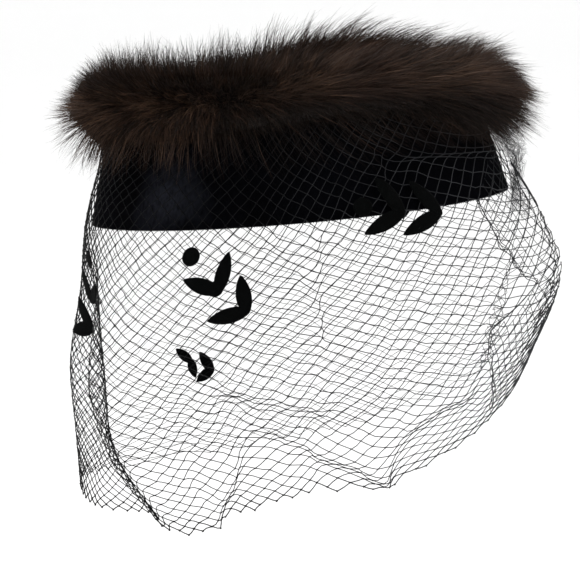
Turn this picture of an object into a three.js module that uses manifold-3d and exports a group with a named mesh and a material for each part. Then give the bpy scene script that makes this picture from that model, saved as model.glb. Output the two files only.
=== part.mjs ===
// A small evening hat: a flared velvet band closed by a flat crown, a ring of long fur round the
// crown's edge, and a diamond-net veil that is sewn on under the fur, bunched up at the back and
// hangs well below the rim. Flocked dots and pairs of leaves lie on the net.
//
// Millimetres, +Z up. The origin is the centre of the head opening, +X is the back of the hat,
// -X the front. The hat is worn tipped forward, so the band, crown and fur sit in a turned group,
// while the veil hangs plumb.

import * as THREE from 'three';
import { mergeVertices } from 'three/addons/utils/BufferGeometryUtils.js';
import Module from 'manifold-3d';

const wasm = await Module();
wasm.setup();

// ---- Driving dimensions ----------------------------------------------------------------------

const HAT_TIP = THREE.MathUtils.degToRad(5);          // how far the back is tipped up
const RIM_HALF_LENGTH = 95.6;                         // head opening, front to back, halved
const RIM_HALF_WIDTH = 80;                            // head opening, side to side, halved
const BAND_HEIGHT = 50;
const BAND_SLOPE = Math.tan(THREE.MathUtils.degToRad(15));
const BAND_WALL = 2;
const GAP = 0.3;                                      // between pieces that touch
const FUR_GAP = 0.4;
const CROWN_WALL = 2;
const CROWN_DOME = 3.5;                               // rise of the crown inside the fur
const DOME_SHARE = 0.6;                               // of the crown's half-length
const NET_WALL = 1;                                   // the net's outer form
const SEAM_HEIGHT = 25;                               // the veil's top edge above the rim
const SEAM_OFF = GAP + NET_WALL / 2 + 0.3;            // from the band to the net's middle
const TRIM_GAP = 0.5;                                 // flocking to the net's outer form
const TRIM_WALL = 1;
const DOT_RADIUS = 4.1;

const ROUND_STEPS = 48;                               // facets round the hat
const NET_COLUMNS = 72;
const NET_ROWS = 11;

// Fur ring: one row for each section round the crown. `out` and `up` move the section's centre
// from the band's top edge.
const FUR_COLUMNS = ['azimuth', 'out', 'up', 'halfWidth', 'halfHeight'];
const FUR_SECTIONS = table(FUR_COLUMNS, [
  [  0, 6, -5, 17, 17],
  [ 30, 5, -2, 17, 17],
  [ 60, 2,  4, 17, 20],
  [ 90, 1,  4, 17, 20],
  [120, 1,  1, 17, 20],
  [150, 1,  0, 18, 20],
  [180, 1, -1, 19, 22],
  [210, 1,  0, 20, 22.5],
  [240, 1,  0, 19, 22],
  [270, 1,  0, 18, 20],
  [300, 2,  0, 17, 18],
  [330, 5, -3, 17, 18],
]);
const FUR_FACETS = 16;

// Veil: one row for each fold or hollow round the hat. A rib starts at the azimuth `seat`, drifts
// round by `swing` on its way to the hem, and stands `upper`, `middle`, `lower` and `hem` from the
// plumb axis at those four levels. `rimOff` is how far it clears the band's edge.
const RIB_COLUMNS = ['seat', 'swing', 'upper', 'middle', 'lower', 'hem', 'hemHeight', 'rimOff'];
const RIBS = table(RIB_COLUMNS, [
  [180,  0, 102, 106, 104, 102, -130, 1.2],           // front lobe
  [190, 10,  97,  92,  93,  98, -134, 1.0],           // hollow behind the front fold
  [198, 21,  97,  95,  93,  84, -133, 1.2],           // bottom of the hollow
  [206, 27, 101, 107, 105,  97, -134, 1.6],           // front fold
  [222, 20,  96, 101, 100,  95, -134, 1.6],
  [240, 12,  90,  95,  94,  89, -127, 1.6],
  [257,  6,  87,  91,  91,  92, -120, 1.6],
  [273,  2,  86,  90,  86,  92, -116, 1.6],           // side hollow
  [289,  1,  88,  92,  90,  93, -116, 1.6],
  [305, -1,  91,  96,  95,  94, -107, 1.6],
  [320, -1,  96, 100,  97,  96,  -98, 1.6],
  [334,  0, 101, 105, 100,  96,  -90, 2.5],
  [346,  0, 108, 112, 107, 102,  -77, 5.0],
  [356,  1, 112, 119, 116, 110,  -54, 8.0],           // swell under the bunch
  [366, 10, 104,  98,  92,  93,  -78, 7.0],           // hollow where the ends meet
  [378, 15, 104, 106, 105, 103,  -92, 3.0],
  [394, 12,  97, 101, 100,  98, -104, 1.6],
  [412,  8,  91,  96,  95,  92, -114, 1.6],
  [430,  6,  87,  90,  92,  90, -122, 1.6],
  [450,  2,  86,  92,  88,  91, -128, 1.6],           // far side hollow
  [470, -2,  88,  91,  94,  92, -132, 1.6],
  [490, -5,  92,  97,  94,  95, -135, 1.6],
  [508, -7,  97, 100, 101,  98, -136, 1.6],
  [524, -3, 101, 104, 101, 101, -132, 1.6],
]);
const LEVELS = ['upper', 'middle', 'lower', 'hem'];
const LEVEL_SHARES = [0.25, 0.55, 0.8, 1];            // of the drop from the rim to the hem
const SWING_POWER = 3;                                // the drift grows towards the hem
const HALF_WAY = 0.45;                                // of the seam's height, on the band
const HALF_WAY_OFF = 0.3;                             // share of rimOff there
// Shares of the veil's length at the seam, half way down the band, the rim and the four levels.
const DROP_KNOTS = [0, 0.1, 0.17, 0.38, 0.63, 0.83, 1];

// Bunched net at the back: `drop` down the veil, half its width and how far it stands out.
const GATHER_SEAT = 357;
const GATHER_COLUMNS = ['drop', 'halfWidth', 'depth'];
const GATHER_SECTIONS = table(GATHER_COLUMNS, [
  [0.004, 15, 8.5],
  [0.030, 17, 11],
  [0.060, 16, 11],
  [0.090, 11, 8],
  [0.115,  6, 4],
]);
const GATHER_FACETS = 6;

// Flocked motifs, in sets of a dot and two pairs of leaves. Angles are on the net, from the
// direction in which azimuth grows and towards the seam.
const DOT_COLUMNS = ['name', 'seat', 'drop'];
const DOTS = table(DOT_COLUMNS, [
  ['dot_1', 237.5, 0.242],
  ['dot_2', 289.0, 0.142],
  ['dot_3', 194.0, 0.262],
  ['dot_4', 477.1, 0.476],
  ['dot_5', 437.0, 0.235],
]);
const LEAF_COLUMNS = ['name', 'seat', 'drop', 'width',
  'firstLength', 'firstAngle', 'secondLength', 'secondAngle'];
const LEAF_PAIRS = table(LEAF_COLUMNS, [
  ['leaf_pair_1', 246.5, 0.350, 6.8, 17.0,   78, 17.5,  160],
  ['leaf_pair_2', 254.8, 0.417, 6.8, 16.0,  102, 17.5,  188],
  ['leaf_pair_3', 300.6, 0.168, 6.8, 18.5,  120, 19.5,  202],
  ['leaf_pair_4', 312.4, 0.184, 6.8, 19.0,  127, 20.5,  200],
  ['leaf_pair_5', 189.0, 0.395, 6.8, 17.0,   28, 14.5,  122],
  ['leaf_pair_6', 188.2, 0.482, 6.8, 18.0,  140, 17.0,  195],
  ['leaf_pair_7', 485.3, 0.693, 4.8, 10.0,   45,  9.0, -102],
  ['leaf_pair_8', 478.4, 0.734, 5.2, 12.0,   60,  9.5,  -24],
  ['leaf_pair_9', 425.0, 0.165, 6.8, 18.0,  -80, 18.0,   10],
  ['leaf_pair_10', 412.0, 0.185, 6.8, 18.0,  -72, 18.0,  16],
]);
const LEAF_STEPS = 5;
const LEAF_BACK = 1.0;                                // how far a leaf starts behind the join
const LEAF_START = 0.14;                              // the part of a sine arch its outline takes
const LEAF_END = 0.985;
const LEAF_SKEW = 0.8;                                // widest before the middle

// ---- Materials ---------------------------------------------------------------------------------

const velvet = new THREE.MeshStandardMaterial({ color: 0x07080b, roughness: 0.85, metalness: 0 });
const fur = new THREE.MeshStandardMaterial({ color: 0x2b201a, roughness: 0.7, metalness: 0 });
const net = new THREE.MeshStandardMaterial({ color: 0x17171a, roughness: 0.6, metalness: 0 });
const flocking = new THREE.MeshStandardMaterial({ color: 0x050607, roughness: 0.95, metalness: 0 });

// ---- Tables and closed meshes ------------------------------------------------------------------

function table(columns, rows) {
  return rows.map((row) => Object.fromEntries(columns.map((column, k) => [column, row[k]])));
}

/** Periodic smooth interpolation of every numeric column of a table at an azimuth in degrees. */
function rowAt(rows, key, azimuth) {
  const first = rows[0][key];
  const turned = first + ((((azimuth - first) % 360) + 360) % 360);
  let k = rows.length - 1;
  while (rows[k][key] > turned) k -= 1;
  const next = k + 1 < rows.length ? rows[k + 1][key] : first + 360;
  const t = (turned - rows[k][key]) / (next - rows[k][key]);
  const near = [-1, 0, 1, 2].map((step) => rows[(k + step + rows.length) % rows.length]);
  const found = {};
  for (const column of Object.keys(rows[0]).filter((name) => name !== key)) {
    const [a, b, c, d] = near.map((row) => row[column]);
    found[column] = 0.5 * (2 * b + (c - a) * t + (2 * a - 5 * b + 4 * c - d) * t ** 2
      + (3 * b - a - 3 * c + d) * t ** 3);
  }
  return found;
}

/** A mesh from points and triangles, with its faces pointing out. */
function solid(points, triangles) {
  const volume = triangles.reduce((sum, [a, b, c]) => (
    sum + points[a].dot(new THREE.Vector3().crossVectors(points[b], points[c]))), 0);
  const outward = volume > 0 ? triangles : triangles.map(([a, b, c]) => [a, c, b]);
  const geometry = new THREE.BufferGeometry();
  geometry.setAttribute('position',
    new THREE.Float32BufferAttribute(points.flatMap((p) => [p.x, p.y, p.z]), 3));
  geometry.setIndex(outward.flat());
  return geometry;
}

/** A ring of closed sections, each a list of points, joined to a solid that closes on itself. */
function ringOf(sections) {
  const count = sections[0].length;
  const points = sections.flat();
  const triangles = [];
  for (let i = 0; i < sections.length; i += 1) {
    for (let j = 0; j < count; j += 1) {
      const here = i * count;
      const next = ((i + 1) % sections.length) * count;
      const up = (j + 1) % count;
      triangles.push([here + j, next + j, next + up], [here + j, next + up, here + up]);
    }
  }
  return solid(points, triangles);
}

/** A wall between two grids of points, rows by columns, closed round its edges. */
function wallBetween(front, back, closedAround) {
  const rows = front.length;
  const columns = front[0].length;
  const points = [...front.flat(), ...back.flat()];
  const behind = rows * columns;
  const at = (row, column) => row * columns + (column % columns);
  const last = closedAround ? columns : columns - 1;
  const triangles = [];
  const quad = (a, b, c, d) => triangles.push([a, b, c], [a, c, d]);
  for (let row = 0; row < rows - 1; row += 1) {
    for (let column = 0; column < last; column += 1) {
      const corners = [at(row, column), at(row, column + 1), at(row + 1, column + 1), at(row + 1, column)];
      quad(...corners);
      quad(...corners.map((corner) => corner + behind).reverse());
    }
  }
  const strip = (edge) => {
    for (let k = 0; k < edge.length - 1; k += 1) {
      quad(edge[k + 1], edge[k], edge[k] + behind, edge[k + 1] + behind);
    }
  };
  const across = Array.from({ length: last + 1 }, (_, column) => column);
  strip(across.map((column) => at(0, column)));
  strip(across.map((column) => at(rows - 1, column)).reverse());
  if (!closedAround) {
    const down = Array.from({ length: rows }, (_, row) => row);
    strip(down.map((row) => at(row, columns - 1)));
    strip(down.map((row) => at(row, 0)).reverse());
  }
  return solid(points, triangles);
}

function toManifold(geometry) {
  const bare = geometry.clone();
  bare.deleteAttribute('normal');
  bare.deleteAttribute('uv');
  const merged = mergeVertices(bare);
  return new wasm.Manifold(new wasm.Mesh({
    numProp: 3,
    vertProperties: new Float32Array(merged.attributes.position.array),
    triVerts: new Uint32Array(merged.index.array),
  }));
}

function fromManifold(body) {
  const mesh = body.getMesh();
  const geometry = new THREE.BufferGeometry();
  geometry.setAttribute('position', new THREE.Float32BufferAttribute(mesh.vertProperties, 3));
  geometry.setIndex([...mesh.triVerts]);
  return geometry;
}

// ---- Band, crown and fur, in the hat's own frame --------------------------------------------------

/** How far an oval with these half-axes reaches at an azimuth in degrees. */
function ovalReach(azimuth, halfLength, halfWidth) {
  const angle = THREE.MathUtils.degToRad(azimuth);
  return 1 / Math.hypot(Math.cos(angle) / halfLength, Math.sin(angle) / halfWidth);
}

/** The band's outer reach at an azimuth and a height above the rim. */
function bandReach(azimuth, height) {
  return ovalReach(azimuth, RIM_HALF_LENGTH - height * BAND_SLOPE, RIM_HALF_WIDTH - height * BAND_SLOPE);
}

function polar(azimuth, reach, height) {
  const angle = THREE.MathUtils.degToRad(azimuth);
  return new THREE.Vector3(reach * Math.cos(angle), reach * Math.sin(angle), height);
}

function aroundTheHat(steps, sectionAt) {
  return Array.from({ length: steps }, (_, k) => sectionAt((360 * k) / steps));
}

function crownBand() {
  return ringOf(aroundTheHat(ROUND_STEPS, (azimuth) => [
    polar(azimuth, bandReach(azimuth, 0), 0),
    polar(azimuth, bandReach(azimuth, BAND_HEIGHT / 2), BAND_HEIGHT / 2),
    polar(azimuth, bandReach(azimuth, BAND_HEIGHT), BAND_HEIGHT),
    polar(azimuth, bandReach(azimuth, BAND_HEIGHT) - BAND_WALL, BAND_HEIGHT),
    polar(azimuth, bandReach(azimuth, BAND_HEIGHT / 2) - BAND_WALL, BAND_HEIGHT / 2),
    polar(azimuth, bandReach(azimuth, 0) - BAND_WALL, 0),
  ]));
}

/** A turned profile whose radii are shares of the reach that `reachAt` gives round the oval. */
function ovalSolid(profile, reachAt) {
  const geometry = new THREE.LatheGeometry(profile.map(([share, z]) => new THREE.Vector2(share, z)), ROUND_STEPS);
  geometry.rotateX(Math.PI / 2);
  const place = geometry.attributes.position;
  for (let k = 0; k < place.count; k += 1) {
    const azimuth = THREE.MathUtils.radToDeg(Math.atan2(place.getY(k), place.getX(k)));
    const share = Math.hypot(place.getX(k), place.getY(k));
    const moved = polar(azimuth, share * reachAt(azimuth, place.getZ(k)), place.getZ(k));
    place.setXYZ(k, moved.x, moved.y, moved.z);
  }
  return geometry;
}

/** The crown lies inside the band's top edge and rises a little inside the fur. */
function crownTop() {
  const under = BAND_HEIGHT - CROWN_WALL;
  return ovalSolid([
    [0, under + CROWN_DOME],
    [DOME_SHARE / 2, under + CROWN_DOME / 2],
    [DOME_SHARE, under],
    [1, under],
    [1, BAND_HEIGHT],
    [DOME_SHARE, BAND_HEIGHT],
    [DOME_SHARE / 2, BAND_HEIGHT + CROWN_DOME / 2],
    [0, BAND_HEIGHT + CROWN_DOME],
  ], (azimuth) => bandReach(azimuth, BAND_HEIGHT) - BAND_WALL - GAP);
}

/** The fur's outer form, hollowed where it sits over the band's edge and on the crown. */
function furTrim() {
  const ring = ringOf(aroundTheHat(ROUND_STEPS, (azimuth) => {
    const section = rowAt(FUR_SECTIONS, 'azimuth', azimuth);
    const reach = bandReach(azimuth, BAND_HEIGHT) + section.out;
    return Array.from({ length: FUR_FACETS }, (_, k) => {
      const turn = (2 * Math.PI * k) / FUR_FACETS;
      return polar(azimuth, reach + section.halfWidth * Math.cos(turn),
        BAND_HEIGHT + section.up + section.halfHeight * Math.sin(turn));
    });
  }));
  const crown = ovalSolid([
    [0, -FUR_GAP],
    [1, -FUR_GAP],
    [1, BAND_HEIGHT / 2],
    [1, BAND_HEIGHT + FUR_GAP],
    [0, BAND_HEIGHT + FUR_GAP],
  ], (azimuth, height) => bandReach(azimuth, height) + FUR_GAP);
  return fromManifold(toManifold(ring).subtract(toManifold(crown)));
}

// ---- Veil ------------------------------------------------------------------------------------------

const hatTurn = new THREE.Matrix4().makeRotationY(-HAT_TIP);

/** A point just off the band, tipped with the hat. */
function offTheBand(azimuth, height, off) {
  return polar(azimuth, bandReach(azimuth, height) + off, height).applyMatrix4(hatTurn);
}

/** The points that one rib runs through, from the seam to the hem. */
function ribPoints(seat) {
  const rib = rowAt(RIBS, 'seat', seat);
  const rim = offTheBand(seat, 0, rib.rimOff);
  const levels = LEVELS.map((level, k) => {
    const share = LEVEL_SHARES[k];
    return polar(seat + rib.swing * share ** SWING_POWER, rib[level],
      THREE.MathUtils.lerp(rim.z, rib.hemHeight, share));
  });
  return [
    offTheBand(seat, SEAM_HEIGHT, SEAM_OFF),
    offTheBand(seat, SEAM_HEIGHT * HALF_WAY, SEAM_OFF + HALF_WAY_OFF * rib.rimOff),
    rim,
    ...levels,
  ];
}

/** A point on the veil's middle surface: azimuth at the seam, and share of the way to the hem. */
function veilPoint(seat, drop) {
  const points = ribPoints(seat);
  const knots = DROP_KNOTS;
  const last = knots.length - 1;
  let k = 0;
  while (k < last - 1 && knots[k + 1] <= drop) k += 1;
  const knot = (n) => knots[n] ?? (n < 0 ? 2 * knots[0] - knots[1] : 2 * knots[last] - knots[last - 1]);
  const point = (n) => points[n] ?? (n < 0
    ? points[0].clone().multiplyScalar(2).sub(points[1])
    : points[last].clone().multiplyScalar(2).sub(points[last - 1]));
  const width = knot(k + 1) - knot(k);
  const slope = (n) => {
    const before = knot(n) - knot(n - 1);
    const after = knot(n + 1) - knot(n);
    const rise = point(n + 1).clone().sub(point(n)).multiplyScalar(before / after);
    const fall = point(n).clone().sub(point(n - 1)).multiplyScalar(after / before);
    return rise.add(fall).multiplyScalar(width / (before + after));
  };
  const u = (drop - knot(k)) / width;
  return point(k).clone().multiplyScalar(2 * u ** 3 - 3 * u ** 2 + 1)
    .addScaledVector(slope(k), u ** 3 - 2 * u ** 2 + u)
    .addScaledVector(point(k + 1), 3 * u ** 2 - 2 * u ** 3)
    .addScaledVector(slope(k + 1), u ** 3 - u ** 2);
}

/** Unit vectors on the veil: round the hat, towards the seam, and outwards. */
function veilFrame(seat, drop) {
  const round = veilPoint(seat + 0.5, drop).sub(veilPoint(seat - 0.5, drop)).normalize();
  const low = Math.min(drop + 0.01, 1);
  const high = Math.max(drop - 0.01, 0);
  const outward = new THREE.Vector3()
    .crossVectors(round, veilPoint(seat, high).sub(veilPoint(seat, low))).normalize();
  return { round, up: new THREE.Vector3().crossVectors(outward, round), outward };
}

function offVeil(seat, drop, off) {
  return veilPoint(seat, drop).addScaledVector(veilFrame(seat, drop).outward, off);
}

function veil() {
  const drops = Array.from({ length: NET_ROWS + 1 }, (_, k) => k / NET_ROWS);
  const face = (off) => drops.map((drop) => (
    Array.from({ length: NET_COLUMNS }, (_, k) => offVeil((360 * k) / NET_COLUMNS, drop, off))));
  return wallBetween(face(NET_WALL / 2), face(-NET_WALL / 2), true);
}

/** Seat and drop of the place that lies some millimetres round and up from another one. */
function alongVeil(seat, drop, round, up) {
  let place = { seat, drop };
  const steps = 4;
  for (let k = 0; k < steps; k += 1) {
    const here = veilPoint(place.seat, place.drop);
    const perDegree = veilPoint(place.seat + 0.5, place.drop).distanceTo(veilPoint(place.seat - 0.5, place.drop));
    const perDrop = here.distanceTo(veilPoint(place.seat, place.drop + 0.01)) / 0.01;
    place = {
      seat: place.seat + round / steps / perDegree,
      drop: Math.max(place.drop - up / steps / perDrop, 0.004),
    };
  }
  return place;
}

/** A thin solid on the veil. `placeAt` gives seat and drop for shares of its length and width. */
function patch(placeAt, steps, columns, depthAt) {
  const share = (k, count) => k / count;
  const face = (offAt) => Array.from({ length: steps + 1 }, (_, row) => (
    Array.from({ length: columns + 1 }, (_unused, column) => {
      const along = share(row, steps);
      const across = 2 * share(column, columns) - 1;
      const { seat, drop } = placeAt(along, across);
      return offVeil(seat, drop, offAt(along, across));
    })));
  const inner = NET_WALL / 2 + TRIM_GAP;
  return wallBetween(face((along, across) => inner + depthAt(along, across)), face(() => inner), false);
}

function veilGather() {
  const at = (along) => {
    const place = along * (GATHER_SECTIONS.length - 1);
    const k = Math.min(Math.floor(place), GATHER_SECTIONS.length - 2);
    const mix = (column) => THREE.MathUtils.lerp(
      GATHER_SECTIONS[k][column], GATHER_SECTIONS[k + 1][column], place - k);
    return { drop: mix('drop'), halfWidth: mix('halfWidth'), depth: mix('depth') };
  };
  const placeAt = (along, across) => {
    const { drop, halfWidth } = at(along);
    return { seat: alongVeil(GATHER_SEAT, drop, halfWidth * across, 0).seat, drop };
  };
  const depthAt = (along, across) => 1 + at(along).depth * Math.sqrt(1 - 0.97 * across ** 2);
  return patch(placeAt, GATHER_SECTIONS.length - 1, GATHER_FACETS, depthAt);
}

function dot({ seat, drop }) {
  const placeAt = (along, across) => {
    const u = 2 * along - 1;
    return alongVeil(seat, drop, DOT_RADIUS * across * Math.sqrt(1 - u ** 2 / 2),
      -DOT_RADIUS * u * Math.sqrt(1 - across ** 2 / 2));
  };
  return patch(placeAt, 4, 4, () => TRIM_WALL);
}

/** One leaf: round where it starts, widest before the middle, pointed at its tip. */
function leaf({ seat, drop, width }, length, angle) {
  const turn = THREE.MathUtils.degToRad(angle);
  const halfWidth = (along) => (
    (width / 2) * Math.sin(Math.PI * THREE.MathUtils.lerp(LEAF_START, LEAF_END, along) ** LEAF_SKEW));
  const placeAt = (along, across) => {
    const reach = THREE.MathUtils.lerp(-LEAF_BACK, length, along);
    const side = halfWidth(along) * across;
    return alongVeil(seat, drop, reach * Math.cos(turn) + side * Math.sin(turn),
      reach * Math.sin(turn) - side * Math.cos(turn));
  };
  return patch(placeAt, LEAF_STEPS, 2, () => TRIM_WALL);
}

function leafPair(row) {
  const first = toManifold(leaf(row, row.firstLength, row.firstAngle));
  const second = toManifold(leaf(row, row.secondLength, row.secondAngle));
  return fromManifold(first.add(second));
}

// ---- Assembly --------------------------------------------------------------------------------------

function named(name, geometry, material) {
  const mesh = new THREE.Mesh(geometry, material);
  mesh.name = name;
  return mesh;
}

const hat = new THREE.Group();
hat.rotation.y = -HAT_TIP;
hat.add(
  named('crown_band', crownBand(), velvet),
  named('crown_top', crownTop(), velvet),
  named('fur_trim', furTrim(), fur),
);

const fascinator = new THREE.Group();
fascinator.add(hat, named('veil', veil(), net), named('veil_gather', veilGather(), net));
DOTS.forEach((row) => fascinator.add(named(row.name, dot(row), flocking)));
LEAF_PAIRS.forEach((row) => fascinator.add(named(row.name, leafPair(row), flocking)));

export default fascinator;
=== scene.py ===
"""Looks for a small evening hat: a velvet band and crown, long dark fur round the crown, and a
diamond-net veil with flocked dots and leaves.

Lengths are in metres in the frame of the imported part: the origin is the centre of the head opening,
+X is the back of the hat, -Y the side that is shown and +Z up. The size tables are in millimetres.
"""

import logging
import math
from dataclasses import dataclass, field
from enum import Enum
from typing import Callable, Iterable, Sequence, Union

import bmesh
import bpy
import numpy as np
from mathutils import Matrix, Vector

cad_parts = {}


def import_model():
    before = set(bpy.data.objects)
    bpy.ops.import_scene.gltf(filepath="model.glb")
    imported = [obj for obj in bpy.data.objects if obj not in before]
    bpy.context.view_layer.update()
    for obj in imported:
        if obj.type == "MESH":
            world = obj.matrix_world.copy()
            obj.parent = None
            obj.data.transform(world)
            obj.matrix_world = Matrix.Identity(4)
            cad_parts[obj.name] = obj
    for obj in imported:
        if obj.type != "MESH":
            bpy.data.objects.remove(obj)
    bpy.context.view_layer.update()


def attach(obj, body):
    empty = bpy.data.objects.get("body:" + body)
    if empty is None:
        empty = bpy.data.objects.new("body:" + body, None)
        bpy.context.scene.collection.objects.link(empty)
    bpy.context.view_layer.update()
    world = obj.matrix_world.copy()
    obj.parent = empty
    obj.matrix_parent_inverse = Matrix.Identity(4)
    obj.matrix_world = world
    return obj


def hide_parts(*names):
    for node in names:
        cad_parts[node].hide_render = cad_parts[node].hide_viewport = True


log = logging.getLogger("evening_hat")

MM = 0.001
DOUBLE = 1e-6  # points closer than this are one, in metres
NET_PER_SEAT = 1.75  # millimetres of net for a degree round the seam, on average
NET_PER_DROP = 148.0  # and for the whole drop
Array = np.ndarray
Term = Union["Signal", float, int, str, tuple, bpy.types.ID]
Colour = tuple[float, float, float]
Face = tuple[int, ...]


# ---- Node benches --------------------------------------------------------------------


def _operator(operation: str, turned: bool = False) -> Callable[["Signal", Term], "Signal"]:
    """One operator of a signal.

    Args:
        operation: The operation of the node that works it out.
        turned: Whether the signal is the second term, as in 1 - signal.

    Returns:
        The method that adds the node.
    """
    def worked_out(self: "Signal", other: Term) -> "Signal":
        """Add the operator's node."""
        return self._join(operation, other, self) if turned else self._join(operation, self, other)

    return worked_out


class Signal:
    """A node socket that can be used in sums: each operator adds the node that works it out."""

    def __init__(self, bench: "Bench", socket: bpy.types.NodeSocket) -> None:
        """Keep the socket and the bench that its tree is built on."""
        self.bench, self.socket = bench, socket

    def _join(self, operation: str, first: Term, second: Term) -> "Signal":
        """Add the Math or Vector Math node for an operation.

        Args:
            operation: The node's operation.
            first: Its first term.
            second: Its second term.

        Returns:
            The node's result.
        """
        vectors = [_is_vector(term) for term in (first, second)]
        terms: dict[int | str, Term] = {0: first, 1: second}
        if operation == "MULTIPLY" and any(vectors) and not all(vectors):
            operation = "SCALE"
            vector, scale = (first, second) if vectors[0] else (second, first)
            terms = {0: vector, "Scale": scale}
        kind = "ShaderNodeVectorMath" if any(vectors) else "ShaderNodeMath"
        return self.bench.node(kind, {"operation": operation}, terms)

    __add__, __radd__ = _operator("ADD"), _operator("ADD", True)
    __sub__, __rsub__ = _operator("SUBTRACT"), _operator("SUBTRACT", True)
    __mul__, __rmul__ = _operator("MULTIPLY"), _operator("MULTIPLY", True)
    __truediv__, __rtruediv__ = _operator("DIVIDE"), _operator("DIVIDE", True)
    __pow__ = _operator("POWER")

    def clamped(self) -> "Signal":
        """The value held between 0 and 1."""
        return self.bench.node("ShaderNodeClamp", sockets={"Value": self})

    def also(self, out: int | str) -> "Signal":
        """Another output of the same node."""
        return Signal(self.bench, Bench._find(self.socket.node.outputs, out))


def _is_vector(term: Term) -> bool:
    """Whether a term of a sum is a vector or a colour."""
    return isinstance(term, tuple) or (
        isinstance(term, Signal) and term.socket.type in {"VECTOR", "RGBA"})


class Bench:
    """Adds nodes to a tree."""

    def __init__(self, tree: bpy.types.NodeTree) -> None:
        """Keep the tree."""
        self.tree = tree

    @staticmethod
    def _find(sockets: bpy.types.bpy_prop_collection, key: int | str) -> bpy.types.NodeSocket:
        """A socket by its number, its identifier or its name."""
        if isinstance(key, int):
            return sockets[key]
        by_id = [s for s in sockets if s.identifier == key]
        return (by_id or [s for s in sockets if s.name == key])[0]

    def node(self, kind: str, settings: dict | None = None, sockets: dict | None = None,
             out: int | str = 0) -> Signal:
        """Add a node, set it, then feed it.

        Args:
            kind: The node's type.
            settings: Its properties; "stops" holds a colour ramp's places and colours.
            sockets: Values or links of its inputs, by number, identifier or name.
            out: The output that is wanted.

        Returns:
            That output.
        """
        made = self.tree.nodes.new(kind)
        for name, value in (settings or {}).items():
            if name == "stops":
                elements = made.color_ramp.elements
                for k, (place, colour) in enumerate(value):
                    stop = elements[k] if k < 2 else elements.new(place)
                    stop.position = place
                    stop.color = (*colour, 1.0)
            else:
                setattr(made, name, value)
        for key, value in (sockets or {}).items():
            self.feed(self._find(made.inputs, key), value)
        return Signal(self, self._find(made.outputs, out))

    def feed(self, socket: bpy.types.NodeSocket, value: Term) -> None:
        """Link a signal to a socket, or set the socket's own value."""
        if isinstance(value, Signal):
            self.tree.links.new(value.socket, socket)
        elif isinstance(value, tuple) and socket.type == "RGBA" and len(value) == 3:
            socket.default_value = (*value, 1.0)
        else:
            socket.default_value = value

    def mixed(self, share: Term, first: Term, second: Term) -> Signal:
        """A colour between two colours."""
        return self.node("ShaderNodeMix", {"data_type": "RGBA"},
                         {"Factor_Float": share, "A_Color": first, "B_Color": second},
                         out="Result_Color")

    def noise(self, place: Signal, scale: float, detail: float = 3.0) -> Signal:
        """Smooth noise from 0 to 1 whose features are 1 / scale metres across."""
        return self.node("ShaderNodeTexNoise", {}, {"Vector": place, "Scale": scale, "Detail": detail})


class ShaderBench(Bench):
    """Builds one material."""

    def __init__(self, name: str, uniform: dict[str, Term]) -> None:
        """Start a material.

        Args:
            name: The material's name.
            uniform: Values of the shader's sockets that are the same all over.
        """
        self.material = bpy.data.materials.new(name)
        self.material.use_nodes = True
        super().__init__(self.material.node_tree)
        self.shader = self.tree.nodes["Principled BSDF"]
        for key, value in uniform.items():
            self.feed(self.shader.inputs[key], value)

    def place(self) -> Signal:
        """The piece's own coordinates, in metres."""
        return self.node("ShaderNodeTexCoord", out="Object")

    def told(self, name: str) -> Signal:
        """A number that the mesh carries, by name."""
        return self.node("ShaderNodeAttribute", {"attribute_name": name}, out="Fac")

    def ramp(self, value: Signal, stops: Sequence[tuple[float, Colour]]) -> Signal:
        """Colours along a value."""
        return self.node("ShaderNodeValToRGB", {"stops": stops}, {"Fac": value}, out="Color")

    def bump(self, height: Signal, depth: float, strength: float = 1.0) -> None:
        """Feed a relief to the shader; depth is in metres."""
        raised = self.node("ShaderNodeBump", {},
                           {"Height": height, "Distance": depth, "Strength": strength})
        self.feed(self.shader.inputs["Normal"], raised)

    def drive(self, **varying: Signal) -> None:
        """Link what changes over the surface; Base_Color stands for Base Color."""
        for key, value in varying.items():
            self.feed(self.shader.inputs[key.replace("_", " ")], value)


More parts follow.
